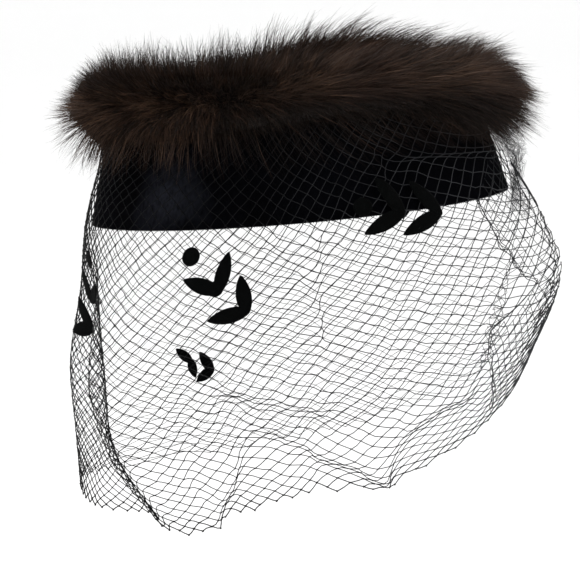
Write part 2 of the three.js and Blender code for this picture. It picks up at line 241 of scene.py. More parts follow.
class TreeBench(Bench):
    """Builds one Geometry Nodes tree with named inputs."""

    def __init__(self, name: str) -> None:
        """Start a tree that takes and gives geometry."""
        super().__init__(bpy.data.node_groups.new(name, "GeometryNodeTree"))
        for way in ("INPUT", "OUTPUT"):
            self.tree.interface.new_socket(
                "Geometry", in_out=way, socket_type="NodeSocketGeometry")
        self.entry = self.tree.nodes.new("NodeGroupInput")
        self.exit = self.tree.nodes.new("NodeGroupOutput")

    def geometry(self) -> Signal:
        """What the modifier is put on."""
        return Signal(self, self.entry.outputs["Geometry"])

    def ask(self, name: str, usual: float | int) -> Signal:
        """A named input and its usual value."""
        kind = "NodeSocketInt" if isinstance(usual, int) else "NodeSocketFloat"
        self.tree.interface.new_socket(name, in_out="INPUT", socket_type=kind).default_value = usual
        return Signal(self, self.entry.outputs[name])

    def told(self, name: str, kind: str = "FLOAT") -> Signal:
        """An attribute by name."""
        return self.node("GeometryNodeInputNamedAttribute", {"data_type": kind}, {"Name": name})

    def keep(self, geometry: Signal, name: str, value: Term, kind: str = "FLOAT") -> Signal:
        """Store an attribute on the geometry's points."""
        return self.node("GeometryNodeStoreNamedAttribute", {"data_type": kind, "domain": "POINT"},
                         {"Geometry": geometry, "Name": name, "Value": value})

    def chance(self, identity: Signal, seed: Term, low: float | tuple, high: float | tuple) -> Signal:
        """A random number, or a vector, that stays the same for an identity."""
        vector = isinstance(low, tuple)
        keys = ("Min", "Max") if vector else ("Min_001", "Max_001")
        return self.node("FunctionNodeRandomValue",
                         {"data_type": "FLOAT_VECTOR" if vector else "FLOAT"},
                         {keys[0]: low, keys[1]: high, "ID": identity, "Seed": seed},
                         out=0 if vector else 1)

    def joined(self, first: Signal, second: Signal) -> Signal:
        """Two geometries as one, in this order."""
        both = self.node("GeometryNodeJoinGeometry", {}, {"Geometry": first})
        self.tree.links.new(second.socket, both.socket.node.inputs[0])
        return both

    def scattered(self, surface: Signal, density: Signal, seed: Term) -> Signal:
        """Points strewn over a surface."""
        return self.node("GeometryNodeDistributePointsOnFaces", {"distribute_method": "RANDOM"},
                         {"Mesh": surface, "Density": density, "Seed": seed})

    def finished(self, geometry: Signal, material: bpy.types.Material) -> bpy.types.NodeTree:
        """End the tree in plain, dressed geometry."""
        plain = self.node("GeometryNodeRealizeInstances", {}, {"Geometry": geometry})
        soft = self.node("GeometryNodeSetShadeSmooth", {}, {"Geometry": plain, "Shade Smooth": True})
        dressed = self.node("GeometryNodeSetMaterial", {}, {"Geometry": soft, "Material": material})
        self.feed(self.exit.inputs["Geometry"], dressed)
        return self.tree


# ---- Meshes --------------------------------------------------------------------------


def plain_mesh(name: str, points: Array, faces: Iterable = (),
               edges: Iterable = ()) -> bpy.types.Object:
    """Make a mesh object at the origin.

    Args:
        name: The object's name.
        points: Its points, in metres.
        faces: Rows of point numbers.
        edges: Pairs of point numbers.

    Returns:
        The object, linked to the scene.
    """
    mesh = bpy.data.meshes.new(name)
    mesh.from_pydata(np.asarray(points).tolist(), [tuple(map(int, e)) for e in edges],
                     [tuple(map(int, f)) for f in faces])
    mesh.update()
    made = bpy.data.objects.new(name, mesh)
    bpy.context.scene.collection.objects.link(made)
    return made


def carry(piece: bpy.types.Object, name: str, values: Array) -> None:
    """Put a number or a vector on each point of a mesh.

    Args:
        piece: The mesh object.
        name: The attribute's name.
        values: One number or one vector a point.
    """
    values = np.asarray(values, np.float32)
    kind, key = ("FLOAT", "value") if values.ndim == 1 else ("FLOAT_VECTOR", "vector")
    layer = piece.data.attributes.new(name, kind, "POINT")
    layer.data.foreach_set(key, values.reshape(-1))


def point_outwards(piece: bpy.types.Object, merge: bool = False) -> None:
    """Turn a closed mesh's faces outwards.

    Args:
        piece: The mesh object.
        merge: Whether doubled points are merged first and the faces made smooth.
    """
    shell = bmesh.new()
    shell.from_mesh(piece.data)
    if merge:
        bmesh.ops.remove_doubles(shell, verts=shell.verts, dist=DOUBLE)
    bmesh.ops.recalc_face_normals(shell, faces=shell.faces)
    for face in shell.faces:
        face.smooth = face.smooth or merge
    shell.to_mesh(piece.data)
    shell.free()


def finish_shell(piece: bpy.types.Object, material: bpy.types.Material) -> None:
    """Merge doubles, point the faces outwards, smooth them and dress the piece."""
    point_outwards(piece, merge=True)
    piece.data.materials.append(material)


def grid_faces(rows: int, columns: int, closed: bool) -> list[Face]:
    """Faces of a grid of points that are numbered row by row.

    Args:
        rows: Its rows.
        columns: Its columns.
        closed: Whether the last column joins the first.

    Returns:
        Four point numbers a face.
    """
    wide = columns if closed else columns - 1
    return [(r * columns + c, r * columns + (c + 1) % columns,
             (r + 1) * columns + (c + 1) % columns, (r + 1) * columns + c)
            for r in range(rows - 1) for c in range(wide)]


def fan(middle: int, start: int, count: int) -> list[Face]:
    """Faces between one point and a ring of points."""
    return [(start + k, start + (k + 1) % count, middle) for k in range(count)]


def ring_of(sections: Array) -> tuple[Array, list[Face]]:
    """Join closed sections into a ring.

    Args:
        sections: A steps x points x 3 array.

    Returns:
        The ring's points and faces.
    """
    steps, count = sections.shape[:2]
    faces = grid_faces(steps, count, True)
    last = (steps - 1) * count
    faces += [(last + j, last + (j + 1) % count, (j + 1) % count, j) for j in range(count)]
    return sections.reshape(-1, 3), faces


def grown(host: bpy.types.Object, tree: bpy.types.NodeTree, sizes: dict[str, float | int],
          name: str, keep: tuple[str, ...] = ()) -> bpy.types.Object:
    """Run a tree on a host mesh and keep the result as a plain mesh.

    Args:
        host: The mesh that the tree starts from; it is left as it is.
        tree: The Geometry Nodes tree.
        sizes: Values of the tree's named inputs.
        name: The new piece's name.
        keep: Attributes that the piece's material reads.

    Returns:
        The new piece.
    """
    modifier = host.modifiers.new("growth", "NODES")
    modifier.node_group = tree
    for item in tree.interface.items_tree:
        if item.name in sizes:
            modifier[item.identifier] = sizes[item.name]
    graph = bpy.context.evaluated_depsgraph_get()
    mesh = bpy.data.meshes.new_from_object(
        host.evaluated_get(graph), preserve_all_data_layers=True, depsgraph=graph)
    host.modifiers.remove(modifier)
    for spare in [a.name for a in mesh.attributes if not a.is_internal and not a.is_required]:
        if spare not in (*keep, "sharp_face", "material_index"):
            mesh.attributes.remove(mesh.attributes[spare])
    made = bpy.data.objects.new(name, mesh)
    mesh.name = name
    bpy.context.scene.collection.objects.link(made)
    return made


def unit(vectors: Array) -> Array:
    """Vectors made one long."""
    return vectors / np.maximum(np.linalg.norm(vectors, axis=-1, keepdims=True), 1e-12)


def eased(value: Array, low: float, high: float) -> Array:
    """A smooth step from 0 at low to 1 at high."""
    share = np.clip((np.asarray(value, float) - low) / (high - low), 0, 1)
    return share * share * (3 - 2 * share)


def round_table(table: Sequence[Sequence[float]], azimuth: Array) -> Array:
    """Smooth values round the hat.

    Args:
        table: Rows that start with their azimuth in degrees, in growing order over one turn.
        azimuth: Where values are wanted.

    Returns:
        The other columns there, in a last axis.
    """
    rows = np.asarray(table, float)
    first, count = rows[0, 0], len(rows)
    turned = first + np.mod(np.asarray(azimuth, float) - first, 360)
    k = np.searchsorted(rows[:, 0], turned, side="right") - 1
    after = np.append(rows[1:, 0], first + 360)
    t = ((turned - rows[k, 0]) / (after[k] - rows[k, 0]))[..., None]
    a, b, c, d = (rows[(k + step) % count, 1:] for step in (-1, 0, 1, 2))
    return 0.5 * (2 * b + (c - a) * t + (2 * a - 5 * b + 4 * c - d) * t ** 2
                  + (3 * b - a - 3 * c + d) * t ** 3)


# ---- Finishes ------------------------------------------------------------------------


@dataclass(frozen=True)
class VelvetFinish:
    """Black silk velvet: a dense pile, crushed a little here and there, with a cool sheen, and a pale
    patch of painted sheen at the front left.
    """

    deep: Colour = (0.0004, 0.0004, 0.0007)
    brushed: Colour = (0.0012, 0.0013, 0.0020)
    # a pale, cool patch of painted sheen round a spot at the front left, standing in for the key lamp's
    # reflection
    painted_sheen: Colour = (0.0150, 0.0160, 0.0215)
    painted_sheen_at: tuple[float, float, float] = (-0.053, -0.056, 0.009)
    painted_sheen_reach: float = 0.021
    sheen: float = 0.003
    sheen_tint: Colour = (0.62, 0.70, 1.0)

    def build(self) -> bpy.types.Material:
        """Make the material."""
        bench = ShaderBench("velvet", {
            "Sheen Weight": self.sheen, "Sheen Roughness": 0.42, "Sheen Tint": (*self.sheen_tint, 1.0),
            "Specular IOR Level": 0.012})
        place = bench.place()
        crushed = bench.noise(place, 38.0, 4.0)
        nap = bench.noise(place * (1.0, 1.0, 0.45), 900.0, 2.0)
        pile = bench.noise(place, 3200.0, 2.0)
        marks_and_painted_sheen = bench.ramp(crushed * 0.75 + nap * 0.25, [(0.36, self.deep), (0.66, self.brushed)])
        away = bench.node("ShaderNodeVectorMath", {"operation": "LENGTH"},
                          {0: (place - self.painted_sheen_at) * (0.8, 1.0, 1.0)}, out="Value")
        # painted sheen: the colour turns lighter round that spot, its edge broken up by the crushed
        # marks and the nap
        painted_sheen_mask = (1.0 - away / self.painted_sheen_reach + (crushed - 0.5) * 1.3).clamped()
        marks_and_painted_sheen = bench.mixed(painted_sheen_mask * (nap * 2.4 - 0.4).clamped(), marks_and_painted_sheen, self.painted_sheen)
        bench.drive(Base_Color=marks_and_painted_sheen, Roughness=0.78 + crushed * 0.2)
        bench.bump(nap * 0.6 + pile * 0.4 + crushed, 0.00035, 0.8)
        return bench.material


@dataclass(frozen=True)
class PeltFinish:
    """The dark skin and woolly undercoat that the fur grows from."""

    dark: Colour = (0.0030, 0.0020, 0.0015)
    warm: Colour = (0.0140, 0.0085, 0.0060)

    def build(self) -> bpy.types.Material:
        """Make the material."""
        bench = ShaderBench("pelt", {"Specular IOR Level": 0.2, "Sheen Weight": 0.05})
        place = bench.place()
        wool = bench.noise(place, 420.0, 4.0)
        fine = bench.noise(place, 1800.0, 2.0)
        bench.drive(Base_Color=bench.mixed(wool, self.dark, self.warm), Roughness=0.8 + fine * 0.2)
        bench.bump(wool + fine * 0.5, 0.0015)
        return bench.material


@dataclass(frozen=True)
class FurFinish:
    """Dark brown hair: nearly black where it grows, warmer half way, greyed at the tip."""

    root: Colour = (0.0028, 0.0014, 0.0008)
    shaft: Colour = (0.0220, 0.0113, 0.0066)
    tip: Colour = (0.0170, 0.0092, 0.0058)
    pale: Colour = (0.1250, 0.0740, 0.0480)
    ruddy: Colour = (0.0290, 0.0135, 0.0092)
    gloss: float = 0.13

    def build(self) -> bpy.types.Material:
        """Make the material; the hairs carry "along", root to tip, and "tone_and_painted_shade", each
        hair's own lightness darkened by painted shade.
        """
        bench = ShaderBench("fur", {"Specular IOR Level": self.gloss})
        along, tone_and_painted_shade = bench.told("along"), bench.told("tone_and_painted_shade")
        patches = bench.noise(bench.place(), 26.0, 3.0)
        hue = ((bench.noise(bench.place(), 17.0, 2.0) - 0.42) * 4.0).clamped()
        shaft = bench.ramp(along, [(0.0, self.root), (0.55, self.shaft), (1.0, self.tip)])
        shaft = bench.mixed(hue * along * 0.7, shaft, self.ruddy)
        front = bench.node("ShaderNodeSeparateXYZ", {}, {"Vector": bench.place()}, out="X")
        belly = ((0.058 - front.also("Z")) * 60.0).clamped()
        # painted light: the hair turns paler towards the front end, most on its lower part and at the
        # very end, and towards the back end, where the key and fill lamps light it
        painted_light = (front * -12.0).clamped() * (belly * 0.45 + 0.2) + (front * -40.0 - 3.2).clamped() * 0.4
        painted_light = painted_light + (front * 24.0 - 1.85).clamped() * 0.85
        # random pale streaks in patches, with the painted light added to them
        streaks_and_painted_light = (tone_and_painted_shade ** 2.2) * ((patches - 0.40) * 3.0 + painted_light).clamped()
        with_streaks_and_painted_light = bench.mixed(streaks_and_painted_light, shaft, self.pale)
        # hairs of low lightness, which includes the painted shade, go towards the dark root colour
        deep = bench.mixed(((0.50 - tone_and_painted_shade) * 2.2).clamped() * 0.85, with_streaks_and_painted_light, self.root)
        bench.drive(Base_Color=deep, Roughness=0.62 - tone_and_painted_shade * 0.16)
        return bench.material


@dataclass(frozen=True)
class ThreadFinish:
    """Fine black nylon thread with a faint twist and a dull gloss, and a painted highlight that
    lightens it towards the back.
    """

    dark: Colour = (0.0012, 0.0012, 0.0015)
    # the light grey of the painted highlight
    painted_highlight: Colour = (0.0560, 0.0575, 0.0620)

    def build(self) -> bpy.types.Material:
        """Make the material."""
        bench = ShaderBench("net_thread", {"Specular IOR Level": 0.08})
        place = bench.place()
        twist = bench.noise(place, 2600.0, 1.0)
        across = bench.node("ShaderNodeSeparateXYZ", {}, {"Vector": place}, out="X")
        # painted highlight: in patches, the threads turn lighter and rougher towards the back of the
        # hat
        painted_highlight_mask = bench.noise(place, 60.0, 2.0) * (across * 11.0 + 0.22).clamped()
        bench.drive(Base_Color=bench.mixed(painted_highlight_mask, self.dark, self.painted_highlight), Roughness=0.42 + painted_highlight_mask * 0.25)
        bench.bump(twist, 0.00006, 0.7)
        return bench.material


@dataclass(frozen=True)
class FlockFinish:
    """Short black flock, matt all over, with pile that leans this way and that."""

    deep: Colour = (0.0004, 0.0005, 0.0005)
    raised: Colour = (0.0014, 0.0017, 0.0017)

    def build(self) -> bpy.types.Material:
        """Make the material."""
        bench = ShaderBench("flock", {
            "Sheen Weight": 0.015, "Sheen Roughness": 0.5, "Specular IOR Level": 0.03})
        place = bench.place()
        pile = bench.noise(place, 2400.0, 2.0)
        leaning = bench.noise(place, 260.0, 3.0)
        bench.drive(Base_Color=bench.mixed(leaning * 0.7 + pile * 0.3, self.deep, self.raised),
                    Roughness=0.88 + pile * 0.12)
        bench.bump(pile + leaning, 0.0002, 0.9)
        return bench.material


@dataclass(frozen=True)
class PaperFinish:
    """Seamless pale paper for the floor and its sweep."""

    pale: Colour = (0.90, 0.90, 0.90)
    grain: Colour = (0.93, 0.93, 0.93)

    def build(self) -> bpy.types.Material:
        """Make the material."""
        bench = ShaderBench("paper", {"Specular IOR Level": 0.1})
        fibre = bench.noise(bench.place(), 400.0, 3.0)
        bench.drive(Base_Color=bench.mixed(fibre, self.pale, self.grain), Roughness=0.85 + fibre * 0.1)
        return bench.material


# ---- Forms that the pieces are set out from ------------------------------------------


@dataclass(frozen=True)
class HatForm:
    """The flared oval band that everything is set out from, tipped up at the back. Millimetres."""

    tip: float = 5.0
    half_length: float = 95.6
    half_width: float = 80.0
    height: float = 50.0
    flare: float = 15.0
    wall: float = 2.0
    gap: float = 0.3

    def reach(self, azimuth: Array, height: Array) -> Array:
        """How far the band's outer face is from the axis at an azimuth and a height."""
        drawn_in = np.asarray(height, float) * math.tan(math.radians(self.flare))
        angle = np.radians(azimuth)
        return 1 / np.hypot(np.cos(angle) / (self.half_length - drawn_in),
                            np.sin(angle) / (self.half_width - drawn_in))

    def tipped(self, azimuth: Array, reach: Array, height: Array) -> Array:
        """Points at azimuths, reaches and heights in the hat's own frame, tipped with the hat."""
        angle, turn = np.radians(azimuth), math.radians(self.tip)
        x, y = reach * np.cos(angle), reach * np.sin(angle)
        z = np.broadcast_to(np.asarray(height, float), np.shape(x))
        return np.stack([x * math.cos(turn) - z * math.sin(turn), y,
                         x * math.sin(turn) + z * math.cos(turn)], -1)

    def off_band(self, azimuth: Array, height: Array, off: Array) -> Array:
        """Points just off the band's outer face."""
        return self.tipped(azimuth, self.reach(azimuth, height) + off, height)


@dataclass(frozen=True)
class Fold:
    """A small crease in the net.

    Its line is given in degrees round the seam and shares of the drop. The net stands `rise`
    millimetres out along it, over `width` to each side. `pull` is the share of the way that threads
    next to it are drawn in, and `fade` the share of the line over which each end dies out.
    """

    line: tuple[tuple[float, float], ...]
    rise: float
    width: float
    pull: float
    fade: float = 0.16

    def reach(self, seat: Array, drop: Array) -> tuple[Array, Array, Array]:
        """How strongly the crease acts at places on the net, and the way to its line.

        Args:
            seat: Degrees round the seam.
            drop: Shares of the drop.

        Returns:
            A share from 0 to 1, and the millimetres to the nearest point of the line, round and down.
        """
        ends = np.array(self.line) * (NET_PER_SEAT, NET_PER_DROP)
        place = np.stack([np.asarray(seat) * NET_PER_SEAT, np.asarray(drop) * NET_PER_DROP], -1)
        legs = np.linalg.norm(np.diff(ends, axis=0), axis=1)
        best = np.full(place.shape[:-1], np.inf)
        way, gone = np.zeros_like(place), np.zeros(place.shape[:-1])
        for k, leg in enumerate(legs):
            along = unit(ends[k + 1] - ends[k])
            share = np.clip(((place - ends[k]) @ along) / leg, 0, 1)
            off = ends[k] + share[..., None] * along * leg - place
            far = np.linalg.norm(off, axis=-1)
            nearer = far < best
            best = np.where(nearer, far, best)
            way = np.where(nearer[..., None], off, way)
            gone = np.where(nearer, (legs[:k].sum() + share * leg) / legs.sum(), gone)
        share = np.exp(-(best / self.width) ** 2) * (
            eased(gone, 0, self.fade) * eased(1 - gone, 0, self.fade))
        return share, way[..., 0] / NET_PER_SEAT, way[..., 1] / NET_PER_DROP


@dataclass(frozen=True)
class VeilForm:
    """The net's own surface: ribs that hang from the seam to the hem, and small creases."""

    hat: HatForm = HatForm()
    seam_height: float = 25.0
    seam_off: float = 1.1
    half_way: float = 0.45
    half_way_off: float = 0.5
    level_shares: tuple[float, ...] = (0.25, 0.55, 0.8, 1.0)
    swing_power: float = 3.0
    knots: tuple[float, ...] = (0, 0.1, 0.17, 0.38, 0.63, 0.83, 1)
    # seat, swing, upper, middle, lower, hem, hem height, off the rim; the shown side's hem heights
    # are another program's results, rounded and partly changed
    ribs: tuple[tuple[float, ...], ...] = (
        (180, 0, 101, 106, 104, 102, -130, 2.8), (190, 10, 95, 92, 93, 98, -134, 3.0),
        (198, 21, 95, 95, 93, 84, -133, 3.0), (206, 27, 100, 107, 105, 97, -134, 2.8),
        (222, 20, 96, 101, 100, 95, -134, 2.2), (240, 12, 90, 95, 94, 89, -127, 1.6),
        (257, 6, 87, 91, 91, 92, -120, 1.6), (273, 2, 86, 90, 86, 92, -116, 1.6),
        (289, 1, 88, 92, 90, 93, -116, 1.6), (305, -1, 91, 96, 95, 94, -107, 1.6),
        (320, -1, 96, 100, 97, 96, -98, 1.6), (334, 0, 101, 105, 100, 96, -90, 2.5),
        (346, 0, 108, 112, 107, 102, -77, 5), (356, 1, 112, 119, 116, 110, -54, 8),
        (366, 10, 104, 98, 92, 93, -78, 7), (378, 15, 104, 106, 105, 103, -92, 3),
        (394, 12, 97, 101, 100, 98, -104, 1.6), (412, 8, 91, 96, 95, 92, -114, 1.6),
        (430, 6, 87, 90, 92, 90, -122, 1.6), (450, 2, 86, 92, 88, 91, -128, 1.6),
        (470, -2, 88, 91, 94, 92, -132, 1.6), (490, -5, 92, 97, 94, 95, -135, 1.6),
        (508, -7, 97, 100, 101, 98, -136, 1.8), (524, -3, 101, 104, 101, 101, -132, 2.3))
    # most points of these lines are another program's results, kept or moved a little
    folds: tuple[Fold, ...] = (
        Fold(((243, 0.64), (252, 0.66), (263.5, 0.695), (280, 0.76)), 3.0, 9.0, 0.88),
        Fold(((248, 0.75), (256, 0.765), (265.5, 0.815), (274, 0.89), (284, 0.92), (296, 1.02)),
             4.0, 10.0, 0.78),
        Fold(((251, 0.80), (249.5, 0.855), (244.5, 0.915), (238, 0.95), (229, 1.04)), 3.0, 8.0, 0.85),
        Fold(((278, 0.20), (275.5, 0.25), (275.5, 0.39), (275.5, 0.56)), 2.5, 7.0, 0.85),
        Fold(((298, -0.02), (297.5, 0.06), (296, 0.16)), 1.6, 6.0, 0.8),
        Fold(((300, 0.02), (323, 0.03), (352, 0.055)), 1.6, 7.0, 0.85),
        Fold(((291, 1.02), (296, 0.89), (299.5, 0.845), (309.5, 0.81), (324, 0.84)), 3.0, 10.0, 0.7),
        Fold(((258, 0.20), (266, 0.27), (271, 0.36), (273, 0.46)), 1.5, 7.0, 0.6),
        Fold(((204, 0.55), (206, 0.65), (210, 0.73), (212, 0.80), (212, 0.88), (209, 1.03)),
             0.6, 6.0, 0.85))
    # drift of the threads: millimetres round and down, waves round the hat and down it, phase
    drifts: tuple[tuple[float, ...], ...] = (
        (0.40, 0.22, 17, 5, 0.3), (0.20, -0.28, 29, 9, 1.7), (-0.18, 0.17, 41, 13, 2.9),
        (0.10, 0.12, 67, 21, 4.1), (-0.09, 0.10, 83, -17, 5.2))
    # shares of the drop over which the drift sets in below the seam and dies out above the hem
    drift_from: float = 0.12
    drift_to: float = 0.1

    def _controls(self, seat: Array) -> Array:
        """The seven points that a rib runs through, and one more beyond each end."""
        rib = round_table(self.ribs, seat)
        swing, levels, hem_height, rim_off = rib[..., 0], rib[..., 1:5], rib[..., 5], rib[..., 6]
        rim = self.hat.off_band(seat, 0.0, rim_off)
        points = [self.hat.off_band(seat, self.seam_height, self.seam_off),
                  self.hat.off_band(seat, self.seam_height * self.half_way,
                                    self.seam_off + self.half_way_off * rim_off), rim]
        for k, share in enumerate(self.level_shares):
            angle = np.radians(seat + swing * share ** self.swing_power)
            points.append(np.stack([levels[..., k] * np.cos(angle), levels[..., k] * np.sin(angle),
                                    rim[..., 2] + (hem_height - rim[..., 2]) * share], -1))
        points = [2 * points[0] - points[1], *points, 2 * points[-1] - points[-2]]
        return np.stack(points, -2)

    def smooth(self, seat: Array, drop: Array) -> Array:
        """Points of the net's surface without its creases, in millimetres."""
        seat, drop = np.broadcast_arrays(np.asarray(seat, float), np.asarray(drop, float))
        points = self._controls(seat)
        knots = np.array([-self.knots[1], *self.knots, 2 - self.knots[-2]])
        k = np.clip(np.searchsorted(self.knots, drop, side="right") - 1, 0, len(self.knots) - 2) + 1

        def point(n: Array) -> Array:
            """One of the rib's points for each place."""
            return np.take_along_axis(points, n[..., None, None], -2)[..., 0, :]

        width = (knots[k + 1] - knots[k])[..., None]

        def slope(n: Array) -> Array:
            """The rib's direction at one of its points."""
            before = (knots[n] - knots[n - 1])[..., None]
            after = (knots[n + 1] - knots[n])[..., None]
            return ((point(n + 1) - point(n)) * before / after
                    + (point(n) - point(n - 1)) * after / before) * width / (before + after)

        u = ((drop - knots[k]) / (knots[k + 1] - knots[k]))[..., None]
        hung = (point(k) * (2 * u ** 3 - 3 * u ** 2 + 1) + slope(k) * (u ** 3 - 2 * u ** 2 + u)
                + point(k + 1) * (3 * u ** 2 - 2 * u ** 3) + slope(k + 1) * (u ** 3 - u ** 2))
        per_drop = self.seam_height * (1 - self.half_way) / self.knots[1]
        turned_up = self.hat.off_band(seat, self.seam_height - np.minimum(drop, 0) * per_drop,
                                      self.seam_off)
        return np.where((drop < 0)[..., None], turned_up, hung)

    def outward(self, seat: Array, drop: Array) -> Array:
        """Unit vectors that point out of the net."""
        drop = np.asarray(drop, float)
        round_it = self.smooth(np.asarray(seat) + 0.5, drop) - self.smooth(np.asarray(seat) - 0.5, drop)
        up = (self.smooth(seat, np.maximum(drop - 0.01, -0.05))
              - self.smooth(seat, np.minimum(drop + 0.01, 1.0)))
        return unit(np.cross(round_it, up))

    def place(self, seat: Array, drop: Array, off: Array = 0.0, threads: bool = False) -> Array:
        """Places on the creased net.

        Args:
            seat: Degrees round the seam.
            drop: Shares of the drop.
            off: Millimetres outside the net.
            threads: Whether the places are the net's own threads, which drift and are drawn in.

        Returns:
            Points in metres.
        """
        seat, drop = np.broadcast_arrays(np.asarray(seat, float), np.asarray(drop, float))
        rise, new_seat, new_drop = np.zeros(seat.shape), seat.copy(), drop.copy()
        for round_it, down, turns, falls, phase in self.drifts:
            wave = np.sin(np.radians(seat) * turns + drop * falls + phase)
            wave = wave * eased(drop, 0, self.drift_from) * threads
            new_seat += round_it * wave / NET_PER_SEAT
            new_drop += down * wave / NET_PER_DROP * eased(1 - drop, 0, self.drift_to)
        for fold in self.folds:
            strength, round_it, down = fold.reach(seat, drop)
            rise += fold.rise * strength
            new_seat += strength * round_it * fold.pull * threads
            new_drop += strength * down * fold.pull * threads
        out = self.outward(new_seat, new_drop)
        return (self.smooth(new_seat, new_drop) + out * (rise + off)[..., None]) * MM

    def along(self, seat: float, drop: float, round_it: Array, up: Array) -> tuple[Array, Array]:
        """Seats and drops of places that lie some millimetres round and up from another place."""
        round_it, up = np.broadcast_arrays(np.asarray(round_it, float), np.asarray(up, float))
        seats, drops = np.full(round_it.shape, float(seat)), np.full(round_it.shape, float(drop))
        steps = 4
        for _ in range(steps):
            here = self.smooth(seats, drops)
            per_seat = np.linalg.norm(self.smooth(seats + 0.5, drops) - self.smooth(seats - 0.5, drops),
                                      axis=-1)
            per_drop = np.linalg.norm(self.smooth(seats, drops + 0.01) - here, axis=-1) / 0.01
            seats = seats + round_it / steps / per_seat
            drops = np.maximum(drops - up / steps / per_drop, 0.004)
        return seats, drops


@dataclass(frozen=True)
class NetPattern:
    """How the two families of threads cross the veil.

    Each table counts a family's threads at angles from the front (rows) and shares of the drop
    (columns); the two families change places on the other side of the hat. The counts follow no rule:
    they are another program's least-squares fit, rounded to halves and partly changed.
    """

    angles: tuple[float, ...] = (0, 25, 50, 75, 100, 125, 150, 176)
    drops: tuple[float, ...] = (0, 1 / 3, 2 / 3, 1)
    falling: tuple[tuple[float, ...], ...] = (
        (-1, 7.5, 15.5, 26.5), (6, 14.5, 22, 34.5), (12, 20, 27.5, 39), (18, 25.5, 33, 43),
        (25, 31.5, 38, 47), (31.5, 37.5, 43, 50.5), (37, 43, 47.5, 53.5), (42.5, 47, 50.5, 56))
    rising: tuple[tuple[float, ...], ...] = (
        (2, 11.5, 21.5, 33), (-5, 3.5, 13, 25), (-9.5, -2, 9, 21.5), (-15, -6.5, 5, 17),
        (-19.5, -10, 1.5, 12.5), (-23, -13, -2.5, 8.5), (-25, -15.5, -6, 4.7),
        (-25.5, -17.5, -10, 0))
    # more threads at the foot of the front, where the net is swung round
    front_extra: float = 6.0
    front_drop: float = 0.17
    front_power: float = 3
    near_spread: float = 23.0
    far_spread: float = 70.0
    # and at the foot of the shown side's back, where it turns under
    back_extra: tuple[float, float] = (3.8, 2.8)
    back_spread: tuple[float, float] = (84.0, 150.0)
    back_drop: float = 0.70
    back_power: float = 1.6

    def _side(self, table: tuple, angle: Array, drop: Array) -> Array:
        """One family's count on the side where the angle is positive."""
        nodes, counts = np.array(self.angles, float), np.array(table)
        held = np.clip(angle, 0, nodes[-1])
        counts = np.vstack([2 * counts[0] - counts[1], counts, 2 * counts[-1] - counts[-2]])
        k = np.clip(np.searchsorted(nodes, held, side="right") - 1, 0, len(nodes) - 2)
        u = (held - nodes[k]) / (nodes[k + 1] - nodes[k])
        shares = (0.5 * (-u + 2 * u ** 2 - u ** 3), 0.5 * (2 - 5 * u ** 2 + 3 * u ** 3),
                  0.5 * (u + 4 * u ** 2 - 3 * u ** 3), 0.5 * (-u ** 2 + u ** 3))
        rows = sum(w[..., None] * counts[k + n] for n, w in enumerate(shares))
        rows = rows + ((angle - held) / (nodes[-1] - nodes[-2]))[..., None] * (counts[-2] - counts[-3])
        total = 0.0
        for n, at in enumerate(self.drops):
            weight = rows[..., n]
            for other in self.drops:
                weight = weight * (drop - other) / (at - other) if other != at else weight
            total = total + weight
        return total

    @staticmethod
    def _below(drop: Array, start: float, power: float) -> Array:
        """A share that grows from 0 at one level to 1 at the hem."""
        return np.clip((np.asarray(drop) - start) / (1 - start), 0, None) ** power

    def counts(self, angle: Array, drop: Array) -> Array:
        """Both families' counts at places, in a last axis."""
        near = np.abs(angle)
        falling, rising = self._side(self.falling, near, drop), self._side(self.rising, near, drop)
        shown, front = np.asarray(angle) >= 0, np.zeros(np.shape(angle))
        step = self._side(self.falling, front, drop) - self._side(self.rising, front, drop)
        swung = np.where(shown, 1 - eased(angle, 0, self.near_spread),
                         1 - eased(-np.asarray(angle), 0, self.far_spread))
        swung = swung * self.front_extra * self._below(drop, self.front_drop, self.front_power)
        under = self._below(drop, self.back_drop, self.back_power) * eased(angle, *self.back_spread)
        return np.stack([
            np.where(shown, falling, rising + step) - swung + under * self.back_extra[0],
            np.where(shown, rising, falling - step) + swung + under * self.back_extra[1]], -1)

    def find(self, wanted: Array, limit: float) -> tuple[Array, Array, Array]:
        """Where threads cross.

        Args:
            wanted: Counts of both families, one row a crossing.
            limit: The greatest angle to each side of the front.

        Returns:
            The angle and the drop of each crossing, and whether one was found inside the limits.
        """
        angle, drop = np.meshgrid(np.linspace(-limit, limit, 211), np.linspace(-0.18, 1.03, 45))
        known = self.counts(angle, drop).reshape(-1, 2)
        nearest = np.concatenate([
            np.argmin(((part[:, None] - known[None]) ** 2).sum(-1), 1)
            for part in np.array_split(wanted, max(1, len(wanted) // 400))])
        angle, drop = angle.reshape(-1)[nearest], drop.reshape(-1)[nearest]
        for _ in range(8):
            here = self.counts(angle, drop)
            by_angle = (self.counts(angle + 0.05, drop) - self.counts(angle - 0.05, drop)) / 0.1
            by_drop = (self.counts(angle, drop + 0.002) - self.counts(angle, drop - 0.002)) / 0.004
            miss = wanted - here
            span = by_angle[:, 0] * by_drop[:, 1] - by_angle[:, 1] * by_drop[:, 0]
            span = np.where(np.abs(span) < 1e-6, 1e-6, span)
            turn = (miss[:, 0] * by_drop[:, 1] - miss[:, 1] * by_drop[:, 0]) / span
            fall = (by_angle[:, 0] * miss[:, 1] - by_angle[:, 1] * miss[:, 0]) / span
            angle = np.clip(angle + np.clip(turn, -6, 6), -limit - 3, limit + 3)
            drop = np.clip(drop + np.clip(fall, -0.08, 0.08), -0.2, 1.1)
        miss = np.abs(wanted - self.counts(angle, drop)).max(1)
        return angle, drop, (miss < 0.02) & (np.abs(angle) <= limit)


# ---- Band and crown ------------------------------------------------------------------


